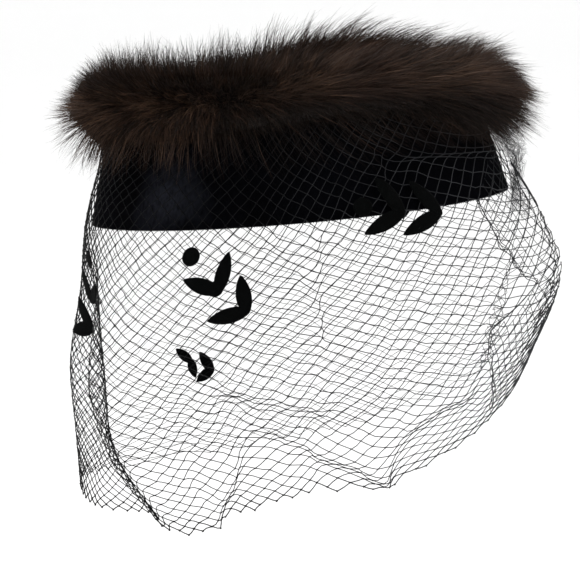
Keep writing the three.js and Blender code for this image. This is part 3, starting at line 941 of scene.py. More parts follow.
@dataclass
class CrownBand:
    """The flared velvet band and its hem stitches. Millimetres."""

    hat: HatForm
    columns: int = 240
    edge: float = 0.8
    edge_turns: tuple[float, ...] = (15, 40, 65)
    outer_rows: int = 15
    inner_rows: int = 9
    pucker: float = 0.12
    pucker_waves: int = 53
    pucker_swells: int = 7
    pucker_height: float = 14.0
    pucker_fade: float = 12.0
    pucker_depth: float = 0.9
    stitch_gap: float = 1.15
    stitch_length: float = 1.0
    stitch_thick: float = 0.3
    stitch_height: float = 0.2
    stitch_off: float = -0.25

    def build(self) -> bpy.types.Object:
        """Make the band: outer face, rolled hem, inner face and top edge."""
        hat, wall = self.hat, self.hat.wall
        azimuth = np.arange(self.columns) * 360 / self.columns
        down = [(self.edge * (1 - np.cos(t)), self.edge * (1 - np.sin(t)))
                for t in np.radians(self.edge_turns)]
        up = down[::-1]
        profile = [(0.0, h) for h in np.linspace(hat.height - self.edge, self.edge, self.outer_rows)]
        profile += [(-off, rise) for off, rise in down]
        profile += [(-(wall - off), rise) for off, rise in up]
        profile += [(-wall, h) for h in np.linspace(self.edge, hat.height - self.edge, self.inner_rows)]
        profile += [(-(wall - off), hat.height - rise) for off, rise in down]
        profile += [(-off, hat.height - rise) for off, rise in up]
        sections = []
        for a in azimuth:
            waves = self.pucker * math.sin(math.radians(a) * self.pucker_waves) * math.sin(
                math.radians(a) * self.pucker_swells + 1)
            sections.append([hat.tipped(a, hat.reach(a, h) + off + (waves - self.pucker) * eased(
                self.pucker_height - h, 0, self.pucker_fade) * (off > -self.pucker_depth), h)
                             for off, h in profile])
        points, faces = ring_of(np.array(sections) * MM)
        return plain_mesh("band_velvet", points, faces)

    def stitch_tree(self, material: bpy.types.Material) -> bpy.types.NodeTree:
        """Short slanting stitches along a line."""
        bench = TreeBench("hem_stitches")
        gap = bench.ask("Stitch gap", self.stitch_gap * MM)
        length = bench.ask("Stitch length", self.stitch_length * MM)
        thick = bench.ask("Thread thickness", self.stitch_thick * MM)
        line = bench.node("GeometryNodeMeshToCurve", {}, {"Mesh": bench.geometry()})
        spots = bench.node("GeometryNodeCurveToPoints", {"mode": "LENGTH"},
                           {"Curve": line, "Length": gap}, out="Points")
        turned = bench.node("FunctionNodeAlignRotationToVector", {"axis": "X"},
                            {"Vector": spots.also("Tangent") * 0.3 + (0.0, 0.0, 1.0)})
        stitch = bench.node("GeometryNodeMeshUVSphere", {},
                            {"Segments": 6, "Rings": 4, "Radius": 0.5})
        size = bench.node("ShaderNodeCombineXYZ", {}, {"X": length, "Y": thick, "Z": thick})
        placed = bench.node("GeometryNodeInstanceOnPoints", {},
                            {"Points": spots, "Instance": stitch, "Rotation": turned, "Scale": size})
        return bench.finished(placed, material)

    def stitches(self, material: bpy.types.Material) -> bpy.types.Object:
        """Make the row of stitches that holds the rolled hem."""
        azimuth = np.linspace(0, 360, 361)
        line = self.hat.off_band(azimuth, self.stitch_height, self.stitch_off) * MM
        host = plain_mesh("stitch_line", line, edges=[(k, k + 1) for k in range(360)])
        made = grown(host, self.stitch_tree(material), {
            "Stitch gap": self.stitch_gap * MM, "Stitch length": self.stitch_length * MM,
            "Thread thickness": self.stitch_thick * MM}, "hem_stitches")
        bpy.data.objects.remove(host)
        return made

    def dress(self, piece: bpy.types.Object, velvet: bpy.types.Material) -> None:
        """Close and cover the band, and put it in the CAD band's place."""
        finish_shell(piece, velvet)
        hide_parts("crown_band")
        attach(piece, "root")


@dataclass
class CrownTop:
    """The velvet disc that closes the crown. Millimetres."""

    hat: HatForm
    wall: float = 2.0
    dome: float = 3.5
    dome_share: float = 0.6
    edge_drop: float = 0.5
    edge_lift: float = 1.0
    columns: int = 144

    def build(self) -> bpy.types.Object:
        """Make the disc: its upper face, its edge and its lower face."""
        hat = self.hat
        shares = np.array([0.02, 0.1, 0.2, 0.3, 0.4, 0.5, 0.6, 0.7, 0.8, 0.9, 0.97, 1.0])
        rise = self.dome * (1 - eased(shares, 0, self.dome_share))
        top = [(s, hat.height + r - (self.edge_drop if s == 1 else 0)) for s, r in zip(shares, rise)]
        under = [(s, h - self.wall + (self.edge_lift if s == 1 else 0)) for s, h in reversed(top)]
        azimuth = np.arange(self.columns) * 360 / self.columns
        edge = hat.reach(azimuth, hat.height) - hat.wall - hat.gap
        rings = np.array([hat.tipped(azimuth, edge * s, h) for s, h in top + under]) * MM
        count = self.columns
        faces = grid_faces(len(rings), count, True)
        points = rings.reshape(-1, 3)
        for row in (0, len(rings) - 1):
            points = np.vstack([points, rings[row].mean(0)])
            faces += fan(len(points) - 1, row * count, count)
        return plain_mesh("crown_velvet", points, faces)

    def dress(self, piece: bpy.types.Object, velvet: bpy.types.Material) -> None:
        """Close and cover the disc, and put it in the CAD crown's place."""
        finish_shell(piece, velvet)
        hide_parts("crown_top")
        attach(piece, "root")


# ---- Fur -----------------------------------------------------------------------------


class Hair(Enum):
    """The two kinds of hair in a pelt."""

    GUARD = "guard"
    UNDER = "under"


@dataclass
class FurTrim:
    """A rolled strip of long-haired fur round the crown's edge. Millimetres."""

    hat: HatForm
    # azimuth, out and up from the band's top edge, half width, half height
    sections: tuple[tuple[float, ...], ...] = (
        (0, 6, -5, 17, 17), (30, 5, -2, 17, 17), (60, 2, 4, 17, 20), (90, 1, 4, 17, 20),
        (120, 1, 1, 17, 20), (150, 1, 0, 18, 20), (180, 1, -1, 19, 22), (210, 1, 0, 20, 22.5),
        (240, 1, 0, 19, 22), (270, 1, 0, 18, 20), (300, 2, 0, 17, 18), (330, 5, -3, 17, 18))
    pile: float = 7.5
    raised_belly: float = 4.5
    clearance: float = 0.45
    beyond: float = 3.0
    steps: int = 200
    facets: int = 40
    locks_per_m2: float = 26000.0
    # kind, seed, hairs a square metre, thickness, bends, share of the full length, wildness
    coats: tuple[tuple, ...] = (
        (Hair.GUARD, 1, 900000.0, 0.20, 4, 1.2, 0.12),
        (Hair.GUARD, 2, 900000.0, 0.20, 4, 1.2, 0.12),
        (Hair.UNDER, 3, 1150000.0, 0.26, 3, 0.84, 0.18),
        (Hair.UNDER, 4, 1150000.0, 0.26, 3, 0.84, 0.18))

    def pelt(self) -> bpy.types.Object:
        """Make the rolled skin, hollowed where it sits on the crown and over the band's edge."""
        hat = self.hat
        azimuth = np.arange(self.steps)[:, None] * 360 / self.steps
        out, up, wide, high = (round_table(self.sections, azimuth)[..., k] for k in range(4))
        turn = np.arange(self.facets)[None, :] * 2 * math.pi / self.facets
        wide, high = wide - self.pile, high - self.pile - self.raised_belly * (np.sin(turn) < 0)
        reach = hat.reach(azimuth, hat.height) + out + wide * np.cos(turn)
        height = hat.height + up + high * np.sin(turn)
        side = hat.reach(azimuth, height) + self.clearance
        top = hat.height + self.clearance
        inside = (reach < side) & (height < top)
        to_side, to_top = side - reach, top - height
        reach, height = (np.where(inside & (to_side <= to_top), side, reach),
                         np.where(inside & (to_side > to_top), top, height))
        points = hat.tipped(np.broadcast_to(azimuth, reach.shape), reach, height)
        joined, faces = ring_of(points * MM)
        piece = plain_mesh("fur_pelt", joined, faces)
        self._comb(piece, turn, inside)
        return piece

    def _comb(self, piece: bpy.types.Object, turn: Array, inside: Array) -> None:
        """Write which way the hair lies, how flat and how long, on each point of the skin.

        Args:
            piece: The skin.
            turn: The angle of each of a section's points round its middle.
            inside: Which points lie against the crown or the band.
        """
        point_outwards(piece)
        shape = inside.shape
        place = np.array([v.co for v in piece.data.vertices]).reshape(*shape, 3)
        rise = np.array([v.normal for v in piece.data.vertices]).reshape(*shape, 3)
        if (rise[:, 0] * place[:, 0]).sum() < 0:
            rise = -rise
        x = place[..., 0] / MM
        ring = place.mean(1, keepdims=True)
        tangent = unit(np.roll(ring, -1, 0) - np.roll(ring, 1, 0))
        back = tangent * np.sign(tangent[..., :1])
        radial = unit(ring * (1, 1, 0))
        outer = np.broadcast_to(eased(np.cos(turn), -0.35, 0.6), shape)
        low = np.broadcast_to(eased(-np.sin(turn), -0.6, 0.5), shape)
        tucked = low * outer * eased(x, -40, 5) * (1 - eased(x, 78, 98))
        flow = eased(x, -88, 24) * np.abs(back[..., 0]) ** 0.6
        away = 0.55 * eased(x, 45, 92) + 0.25 * eased(-x, 70, 95)
        droop = outer * (0.25 + 0.75 * low) * (0.85 - 0.45 * eased(x, -60, 50))
        comb = (back * (1.05 * flow)[..., None] + radial * away[..., None]
                + np.array([0, 0, -1.0]) * droop[..., None])
        comb = comb - rise * np.minimum((comb * rise).sum(-1, keepdims=True), 0) * 0.6
        top = eased(rise[..., 2], 0.25, 0.8)
        standing = top * (1 - eased(x, -25, 45)) * eased(x, -98, -80)
        ends = outer * np.maximum(eased(-x, 82, 104), 1.05 * eased(x, 86, 108))
        corner = eased(rise[..., 2], -0.1, 0.6) * np.maximum(eased(-x, 78, 98), eased(x, 72, 98))
        comb = comb - np.array([0, 0, 0.9]) * (corner * eased(x, 60, 90))[..., None]
        lie = (0.34 + 0.44 * eased(x, -78, 15)) * (1 - 0.45 * standing)
        length = (self.pile + self.beyond) / (1 - 0.42 * lie)
        hanging = low * outer * (1 - eased(x, 30, 80))
        length = length * (1 + 0.12 * standing + 0.12 * top + 0.12 * hanging)
        length = length * (1 + 0.10 * tucked)
        length = length * (1 - 0.35 * corner) * (1 - 0.38 * eased(x, 82, 105))
        # painted shade: the hair is darker under the roll on its outer side, along most of the shown
        # length, and in the hairs that hang over the band; it is also darker along the top towards the
        # front
        painted_shade = 1 - 1.1 * low * outer * eased(x, -60, 0) * (1 - eased(x, 70, 105))
        painted_shade = painted_shade - 0.6 * eased(rise[..., 2], 0.05, 0.6) * (1 - eased(x, -35, 25)) - 0.35 * hanging
        carry(piece, "rise", rise.reshape(-1, 3))
        carry(piece, "comb", comb.reshape(-1, 3))
        carry(piece, "lie", lie.reshape(-1))
        carry(piece, "length", length.reshape(-1) * MM)
        carry(piece, "thin", np.clip(0.75 * hanging + 0.3 * tucked, 0, 0.85).reshape(-1))
        carry(piece, "sparse", np.maximum(np.maximum(standing, 0.7 * top), 0.6 * ends).reshape(-1))
        carry(piece, "painted_shade", np.maximum(painted_shade, 0.0).reshape(-1))
        carry(piece, "cover", np.where(inside, 0.0, 1.0).reshape(-1))

    def hair_tree(self, kind: Hair, material: bpy.types.Material) -> bpy.types.NodeTree:
        """Hairs that grow from the skin, bend along the comb and gather in locks.

        Args:
            kind: Long guard hair or shorter underfur.
            material: What the hairs are dressed in.

        Returns:
            The tree.
        """
        bench = TreeBench(f"{kind.value}_hair")
        density = bench.ask("Hairs per square metre", 400000.0)
        lock_density = bench.ask("Locks per square metre", self.locks_per_m2)
        thick = bench.ask("Thickness", 0.0002)
        bends = bench.ask("Bends", 3)
        share = bench.ask("Share of length", 1.0)
        wild = bench.ask("Wildness", 0.12)
        seed = bench.ask("Seed", 1)
        skin = bench.geometry()

        thin = bench.told("thin")
        cover = bench.told("cover")
        sparse, painted_shade = bench.told("sparse"), bench.told("painted_shade")
        if kind is Hair.GUARD:
            cover = cover * (1.0 - thin) * (1.0 - sparse * 0.62)
        roots = bench.scattered(skin, density * cover, seed)
        roots = bench.keep(roots, "hair", bench.node("GeometryNodeInputIndex"), "INT")
        roots = bench.keep(roots, "root", bench.node("GeometryNodeInputPosition"), "FLOAT_VECTOR")
        copies = bench.node("GeometryNodeDuplicateElements", {"domain": "POINT"},
                            {"Geometry": roots, "Amount": bends + 1.0})
        copies = bench.keep(copies, "along", copies.also("Duplicate Index") / bends)
        hair, along = bench.told("hair", "INT"), bench.told("along")
        curves = bench.node("GeometryNodePointsToCurves", {},
                            {"Points": copies, "Curve Group ID": hair, "Weight": along})

        root, rise = bench.told("root", "FLOAT_VECTOR"), bench.told("rise", "FLOAT_VECTOR")
        comb, lie = bench.told("comb", "FLOAT_VECTOR"), bench.told("lie")
        length = bench.told("length") * share * bench.chance(hair, 3, 0.66, 1.12)
        if kind is Hair.UNDER:
            length = length * (1.0 - thin) * (1.0 - sparse * bench.chance(hair, 19, 0.2, 0.95))
        lean = rise * (along * (1.0 - lie * along * 0.42))
        lean = lean + comb * (lie * along * (0.25 + along * 0.75))
        lean = lean + bench.chance(hair, 5, (-1.0,) * 3, (1.0,) * 3) * (wild * along ** 1.4)
        tone_and_painted_shade = bench.chance(hair, 7, 0.0, 0.34)
        for lock_share, pull, sway, lock_seed in ((1.0, 0.22, 0.12, 11), (12.0, 0.58, 0.10, 17)):
            locks = bench.scattered(skin, lock_density * lock_share, lock_seed)
            nearest = bench.node("GeometryNodeSampleNearest", {},
                                 {"Geometry": locks, "Sample Position": root})
            centre = bench.node("GeometryNodeSampleIndex", {"data_type": "FLOAT_VECTOR"},
                                {"Geometry": locks, "Value": bench.node("GeometryNodeInputPosition"),
                                 "Index": nearest})
            lean = lean + bench.chance(nearest, lock_seed, (-1.0,) * 3, (1.0,) * 3) * (
                along ** 1.5 * sway)
            tone_and_painted_shade = tone_and_painted_shade + bench.chance(nearest, lock_seed + 12, 0.0, 0.33)
            drawn = (centre - root) * (along ** 2.0 * pull)
            root = root + drawn
        moved = bench.node("GeometryNodeSetPosition", {},
                           {"Geometry": curves, "Position": root + lean * length})
        # each hair's own lightness, darkened by the pelt's painted shade, with a few stray pale hairs
        # left light
        stray = ((bench.chance(hair, 15, 0.0, 1.0) - 0.92) * 40.0).clamped()
        tone_and_painted_shade = ((tone_and_painted_shade - 0.5) * 1.6 + 0.5).clamped() * painted_shade + stray * 0.55
        moved = bench.keep(moved, "tone_and_painted_shade", tone_and_painted_shade)
        moved = bench.node("GeometryNodeSetCurveTilt", {},
                           {"Curve": moved, "Tilt": bench.chance(hair, 13, 0.0, math.pi)})
        half = bench.node("ShaderNodeCombineXYZ", {}, {"X": thick / 2.0})
        profile = bench.node("GeometryNodeCurvePrimitiveLine", {"mode": "POINTS"},
                             {"Start": half * -1.0, "End": half})
        taper = (1.0 - along ** 2.2) * 0.85 + 0.15
        taper = taper * bench.chance(hair, 9, 0.7, 1.25)
        body = bench.node("GeometryNodeCurveToMesh", {},
                          {"Curve": moved, "Profile Curve": profile, "Scale": taper})
        return bench.finished(body, material)

    def hairs(self, pelt: bpy.types.Object, kind: Hair, seed: int, hairs_per_m2: float,
              thick: float, bends: int, share: float, wild: float,
              material: bpy.types.Material) -> bpy.types.Object:
        """Grow one coat of hair from the skin.

        Args:
            pelt: The skin.
            kind: Which hair.
            seed: Sets where the hairs stand.
            hairs_per_m2: How close they stand.
            thick: Their thickness in millimetres.
            bends: How many straight lengths each is made of.
            share: Their length as a share of the full length.
            wild: How far each strays from the comb, as a share of its length.
            material: Their finish.

        Returns:
            The coat as one mesh.
        """
        return grown(pelt, self.hair_tree(kind, material), {
            "Hairs per square metre": hairs_per_m2, "Thickness": thick * MM, "Bends": bends,
            "Share of length": share, "Wildness": wild, "Seed": seed,
            "Locks per square metre": self.locks_per_m2},
            f"fur_{kind.value}_{seed}", keep=("along", "tone_and_painted_shade"))

    def build(self, fur: bpy.types.Material, skin: bpy.types.Material) -> list[bpy.types.Object]:
        """Make the skin and its coats and put them in the CAD trim's place."""
        pelt = self.pelt()
        pieces = [pelt]
        pieces += [self.hairs(pelt, *coat, fur) for coat in self.coats]
        finish_shell(pelt, skin)
        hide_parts("fur_trim")
        for piece in pieces:
            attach(piece, "root")
        return pieces


# ---- Veil ----------------------------------------------------------------------------


def thread_tree(material: bpy.types.Material) -> bpy.types.NodeTree:
    """Round threads along the edges of a mesh, with a knot wherever the mesh says so."""
    bench = TreeBench("net_threads")
    thick = bench.ask("Thread thickness", 0.00036)
    knot = bench.ask("Knot size", 0.00062)
    sides = bench.ask("Thread sides", Wire.sides)
    wire = bench.geometry()
    line = bench.node("GeometryNodeMeshToCurve", {}, {"Mesh": wire})
    profile = bench.node("GeometryNodeCurvePrimitiveCircle", {"mode": "RADIUS"},
                         {"Resolution": sides, "Radius": thick / 2.0})
    threads = bench.node("GeometryNodeCurveToMesh", {},
                         {"Curve": line, "Profile Curve": profile, "Scale": bench.told("fine")})
    ball = bench.node("GeometryNodeMeshUVSphere", {}, {"Segments": 4, "Rings": 2, "Radius": 0.5})
    spin = bench.chance(bench.node("GeometryNodeInputIndex"), 5, (0.0,) * 3, (6.28,) * 3)
    tied = bench.node("FunctionNodeCompare", {"data_type": "FLOAT", "operation": "GREATER_THAN"},
                      {"A": bench.told("knot"), "B": 0.5})
    size = bench.node("ShaderNodeCombineXYZ", {}, {
        axis: knot * bench.told("fine") for axis in "XYZ"})
    knots = bench.node("GeometryNodeInstanceOnPoints", {}, {
        "Points": wire, "Selection": tied, "Instance": ball, "Rotation": spin, "Scale": size})
    return bench.finished(bench.joined(threads, knots), material)


@dataclass
class Wire:
    """Polylines that threads are laid along, collected point by point."""

    points: list[Array] = field(default_factory=list)
    edges: list[tuple[int, int]] = field(default_factory=list)
    knots: list[float] = field(default_factory=list)
    fine: list[float] = field(default_factory=list)
    sides: int = 3

    def lay(self, points: Sequence[Array], fine: Sequence[float]) -> None:
        """Add one length of thread through some points; fine is its share of full thickness."""
        start = len(self.points)
        self.points.extend(points)
        self.knots.extend([0.0] * len(points))
        self.fine.extend(fine)
        self.edges.extend((start + k, start + k + 1) for k in range(len(points) - 1))

    def tie(self, point: Array, fine: float) -> None:
        """Add one knot."""
        self.points.append(point)
        self.knots.append(1.0)
        self.fine.append(fine)

    def spun(self, name: str, material: bpy.types.Material, thick: float,
             knot: float) -> bpy.types.Object:
        """Turn the polylines into threads.

        Args:
            name: The new piece's name.
            material: What the threads are dressed in.
            thick: Their full thickness in millimetres.
            knot: The size of a knot in millimetres.

        Returns:
            The threads and knots as one mesh.
        """
        host = plain_mesh(name + "_line", np.array(self.points), edges=self.edges)
        carry(host, "knot", np.array(self.knots))
        carry(host, "fine", np.array(self.fine))
        made = grown(host, thread_tree(material), {
            "Thread thickness": thick * MM, "Knot size": knot * MM, "Thread sides": self.sides}, name)
        bpy.data.objects.remove(host)
        return made


@dataclass
class Veil:
    """The net: two families of thread over the veil's surface, cut to points at the hem."""

    form: VeilForm
    pattern: NetPattern = NetPattern()
    outer_end: float = 178.0
    # drop, and how far round the tucked end of the strip reaches there; half of these rows began as
    # another program's results
    inner_end: tuple[tuple[float, float], ...] = (
        (-0.1, 189), (0.06, 200), (0.16, 211), (0.22, 210), (0.275, 207.5), (0.34, 206.5),
        (0.40, 203), (0.45, 202.5), (0.52, 198), (0.57, 194), (0.61, 205.5), (0.635, 213.5),
        (0.685, 214), (0.8, 210), (0.91, 206.5), (1.1, 204))
    tucked: float = 2.6
    tucked_turn: float = 38.0
    tucked_fine: float = 0.75
    cell: float = 5.0
    per_degree: float = 1.83
    over_seam: float = -0.16
    thick: float = 0.46
    knot: float = 0.95
    far_fine: float = 0.64
    far_turn: float = 30.0
    hem_thicker: float = 0.3
    hem_drops: tuple[float, float] = (0.94, 0.99)
    selvedge_fine: float = 0.9
    unrest: float = 0.08
    flat: tuple[float, float] = (0.72, 0.18)

    def _crossings(self) -> dict[tuple[int, int], tuple[float, float]]:
        """Angle and drop of every crossing and of the points half way, by doubled counts."""
        angle, drop = np.meshgrid(np.linspace(-self.outer_end, self.outer_end, 151),
                                  np.linspace(self.over_seam, 1, 41))
        seen = self.pattern.counts(angle, drop).reshape(-1, 2)
        low, high = np.floor(seen.min(0)) * 2, np.ceil(seen.max(0)) * 2
        first, second = np.meshgrid(np.arange(low[0], high[0] + 1), np.arange(low[1], high[1] + 1))
        wanted = np.stack([first.ravel(), second.ravel()], -1)
        wanted = wanted[(np.mod(wanted, 2).sum(1) < 1.5)]
        gap = np.full(len(wanted), np.inf)
        for part in np.array_split(np.arange(len(wanted)), len(wanted) // 400 + 1):
            gap[part] = ((wanted[part, None] / 2 - seen[None]) ** 2).sum(-1).min(1)
        wanted = wanted[gap < 4]
        angle, drop, found = self.pattern.find(wanted / 2, self.outer_end)
        found &= (drop > self.over_seam) & (drop < 1.0) & (angle < self.outer_end)
        return {(int(a), int(b)): (float(p), float(q)) for (a, b), p, q, keep
                in zip(wanted, angle, drop, found) if keep}

    def _trim(self, places: dict[tuple[int, int], tuple[float, float]]) -> set[tuple[int, int]]:
        """Crossings that stay: below the seam each one ties at least two threads."""
        kept = {key for key in places if key[0] % 2 == 0 and key[1] % 2 == 0}
        while True:
            loose = {
                (a, b) for a, b in kept if places[a, b][1] > 0.03 and sum(
                    (a + da, b + db) in kept and (a + da // 2, b + db // 2) in places
                    for da, db in ((2, 0), (-2, 0), (0, 2), (0, -2))) < 2}
            if not loose:
                return kept
            kept -= loose

    def _weave(self, wire: Wire, places: dict[tuple[int, int], tuple[float, float]],
               fine: Array, inward: Array) -> None:
        """Lay a net's threads between its crossings.

        Args:
            wire: What they are laid in.
            places: Angle and drop of each crossing and half-way point, by doubled counts.
            fine: Share of the full thickness at each of them.
            inward: Millimetres that each of them lies inside the veil's surface.
        """
        kept = self._trim(places)
        keys = list(places)
        angle, drop = np.array([places[k] for k in keys]).T
        spots = self.form.place(180 + angle, drop, -inward, threads=True)
        spots = spots + np.random.default_rng(4).normal(0, self.unrest * MM, spots.shape)
        at = {key: (spots[k], float(fine[k])) for k, key in enumerate(keys)}
        for key in sorted(kept):
            wire.tie(*at[key])
            for step in ((0, 1), (1, 0)):
                half = (key[0] + step[0], key[1] + step[1])
                after = (key[0] + 2 * step[0], key[1] + 2 * step[1])
                if after in kept and half in places:
                    wire.lay(*zip(*(at[k] for k in (key, half, after))))

    def _tucked_end(self, wire: Wire) -> None:
        """Lay the end of the strip that is tucked inside the other, and its turned-in edge."""
        reach = np.array(self.inner_end).T
        turn = math.radians(self.tucked_turn)
        levels = np.linspace(self.over_seam, 1, 117)
        first, second = (n.ravel() for n in np.meshgrid(np.arange(-160, 161), np.arange(-160, 161)))
        whole = np.mod(first, 2) + np.mod(second, 2) < 2
        first, second = first[whole], second[whole]
        round_it = (first * math.cos(turn) - second * math.sin(turn)) * self.cell / 2
        down = (first * math.sin(turn) + second * math.cos(turn)) * self.cell / 2
        near = (round_it > -1) & (round_it < (reach[1].max() - 180) * self.per_degree)
        places = {}
        for a, b, across, low in zip(first[near], second[near], round_it[near], down[near]):
            angle = 180 + across / self.per_degree
            heights = self.form.smooth(np.full(levels.shape, 180 - angle), levels)[:, 2]
            drop = float(np.interp(low, -heights, levels, left=-1, right=2))
            if self.over_seam < drop < 1 and angle < np.interp(drop, *reach):
                places[int(a), int(b)] = (-angle, drop)
        count = len(places)
        self._weave(wire, places, np.full(count, self.tucked_fine), np.full(count, self.tucked))
        drop = np.linspace(0.0, 1.0, 90)
        self._selvedge(wire, -np.interp(drop, *reach), drop, -self.tucked)

    def _selvedge(self, wire: Wire, angle: Array, drop: Array, off: float) -> None:
        """Lay the three crimped threads that run down a cut end of the strip."""
        for k in range(3):
            sway = 0.4 * np.sin(drop * 31 + 2.1 * k) + 0.35 * np.sin(drop * 83 + 1.3 * k)
            seat = 180 + angle + np.where(angle < 0, 1, -1) * (0.7 * k + sway)
            wire.lay(list(self.form.place(seat, drop, off - 0.3 * k)),
                     [self.selvedge_fine] * len(drop))

    def build(self, thread: bpy.types.Material) -> bpy.types.Object:
        """Lay the threads and spin them."""
        places = self._crossings()
        angle, drop = np.array(list(places.values())).T
        fine = (1 - (1 - self.far_fine) * eased(-angle, 0, self.far_turn)) * (
            1 + self.hem_thicker * eased(drop, *self.hem_drops))
        wire = Wire()
        self._weave(wire, places, fine, self.tucked * eased(-angle, 150, 176))
        self._tucked_end(wire)
        drop = np.linspace(0.1, 1.0, 80)
        self._selvedge(wire, np.full(80, self.outer_end), drop, 0.0)
        log.info("veil: %d thread points", len(wire.points))
        return wire.spun("veil_net", thread, self.thick, self.knot)

    def dress(self, piece: bpy.types.Object) -> None:
        """Put the net in the CAD veil's place."""
        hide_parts("veil")
        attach(piece, "root")


@dataclass
class VeilGather:
    """The net's spare width, pleated and caught together at the back of the band. Millimetres."""

    form: VeilForm
    seat: float = 357.0
    # drop, half width, inner face off the veil, depth
    sections: tuple[tuple[float, ...], ...] = (
        (-0.03, 15, 0.5, 7), (0.004, 16, 0.5, 9), (0.030, 18, 0.5, 11), (0.060, 17, 0.5, 11),
        (0.090, 14, 0.3, 9), (0.115, 8, -1, 6), (0.150, 9, -6, 6), (0.200, 13, -10, 10),
        (0.300, 20, -10, 10))
    cloth: float = 150.0
    cell: float = 10.0
    pleats: float = 8.0
    layers: int = 3
    lean: float = 10.0
    # shares of the way down at which threads end, one drawn for each
    cuts: tuple[float, ...] = (0.44, 0.6, 0.8, 1.0)
    fewest: int = 3
    thick: float = 0.12
    knot: float = 0.21
    fine: float = 0.9
    unrest: float = 0.75

    def build(self, thread: bpy.types.Material) -> bpy.types.Object:
        """Lay pleated threads from the seam through the pinch and fan them out below it."""
        table = np.array(self.sections)
        wire = Wire()
        steady = np.random.default_rng(9)
        steps = int(self.cloth / self.cell)
        for layer in range(self.layers):
            share = 1 - layer / (self.layers + 0.2)
            for lean in (-1, 1):
                for start in range(-11, steps + 11):
                    down = np.linspace(0, 1, 41)
                    cloth = (start + lean * down * self.lean) / steps * 2 - 1
                    inside = (np.abs(cloth) <= 1) & (down < steady.choice(self.cuts))
                    if inside.sum() < self.fewest:
                        continue
                    down, cloth = down[inside], cloth[inside]
                    drop = table[0, 0] + down * (table[-1, 0] - table[0, 0])
                    wide = np.interp(drop, table[:, 0], table[:, 1]) * 0.97
                    inner = np.interp(drop, table[:, 0], table[:, 2])
                    deep = np.interp(drop, table[:, 0], table[:, 3])
                    phase = self.pleats * math.pi * cloth + layer * 1.9
                    phase = phase + 2.2 * np.sin(down * 9 + layer)
                    across = np.clip(cloth + 0.07 * np.sin(2 * phase), -1, 1)
                    dome = np.sqrt(np.maximum(1 - 0.97 * across ** 2, 0))
                    off = inner + deep * dome * share * (0.72 + 0.28 * np.sin(phase))
                    seats = self.form.along(self.seat, float(drop.mean()), wide * across, 0.0)[0]
                    base = self.form.smooth(seats, drop)
                    spots = (base + self.form.outward(seats, drop) * off[:, None]) * MM
                    spots = spots + steady.normal(0, self.unrest * MM, spots.shape)
                    wire.lay(list(spots), [self.fine] * len(spots))
                    for spot in spots[::3]:
                        wire.tie(spot, self.fine)
        return wire.spun("veil_gather_net", thread, self.thick, self.knot)

    def dress(self, piece: bpy.types.Object) -> None:
        """Put the pleats in the CAD bunch's place."""
        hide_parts("veil_gather")
        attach(piece, "root")


# ---- Flocked motifs ------------------------------------------------------------------


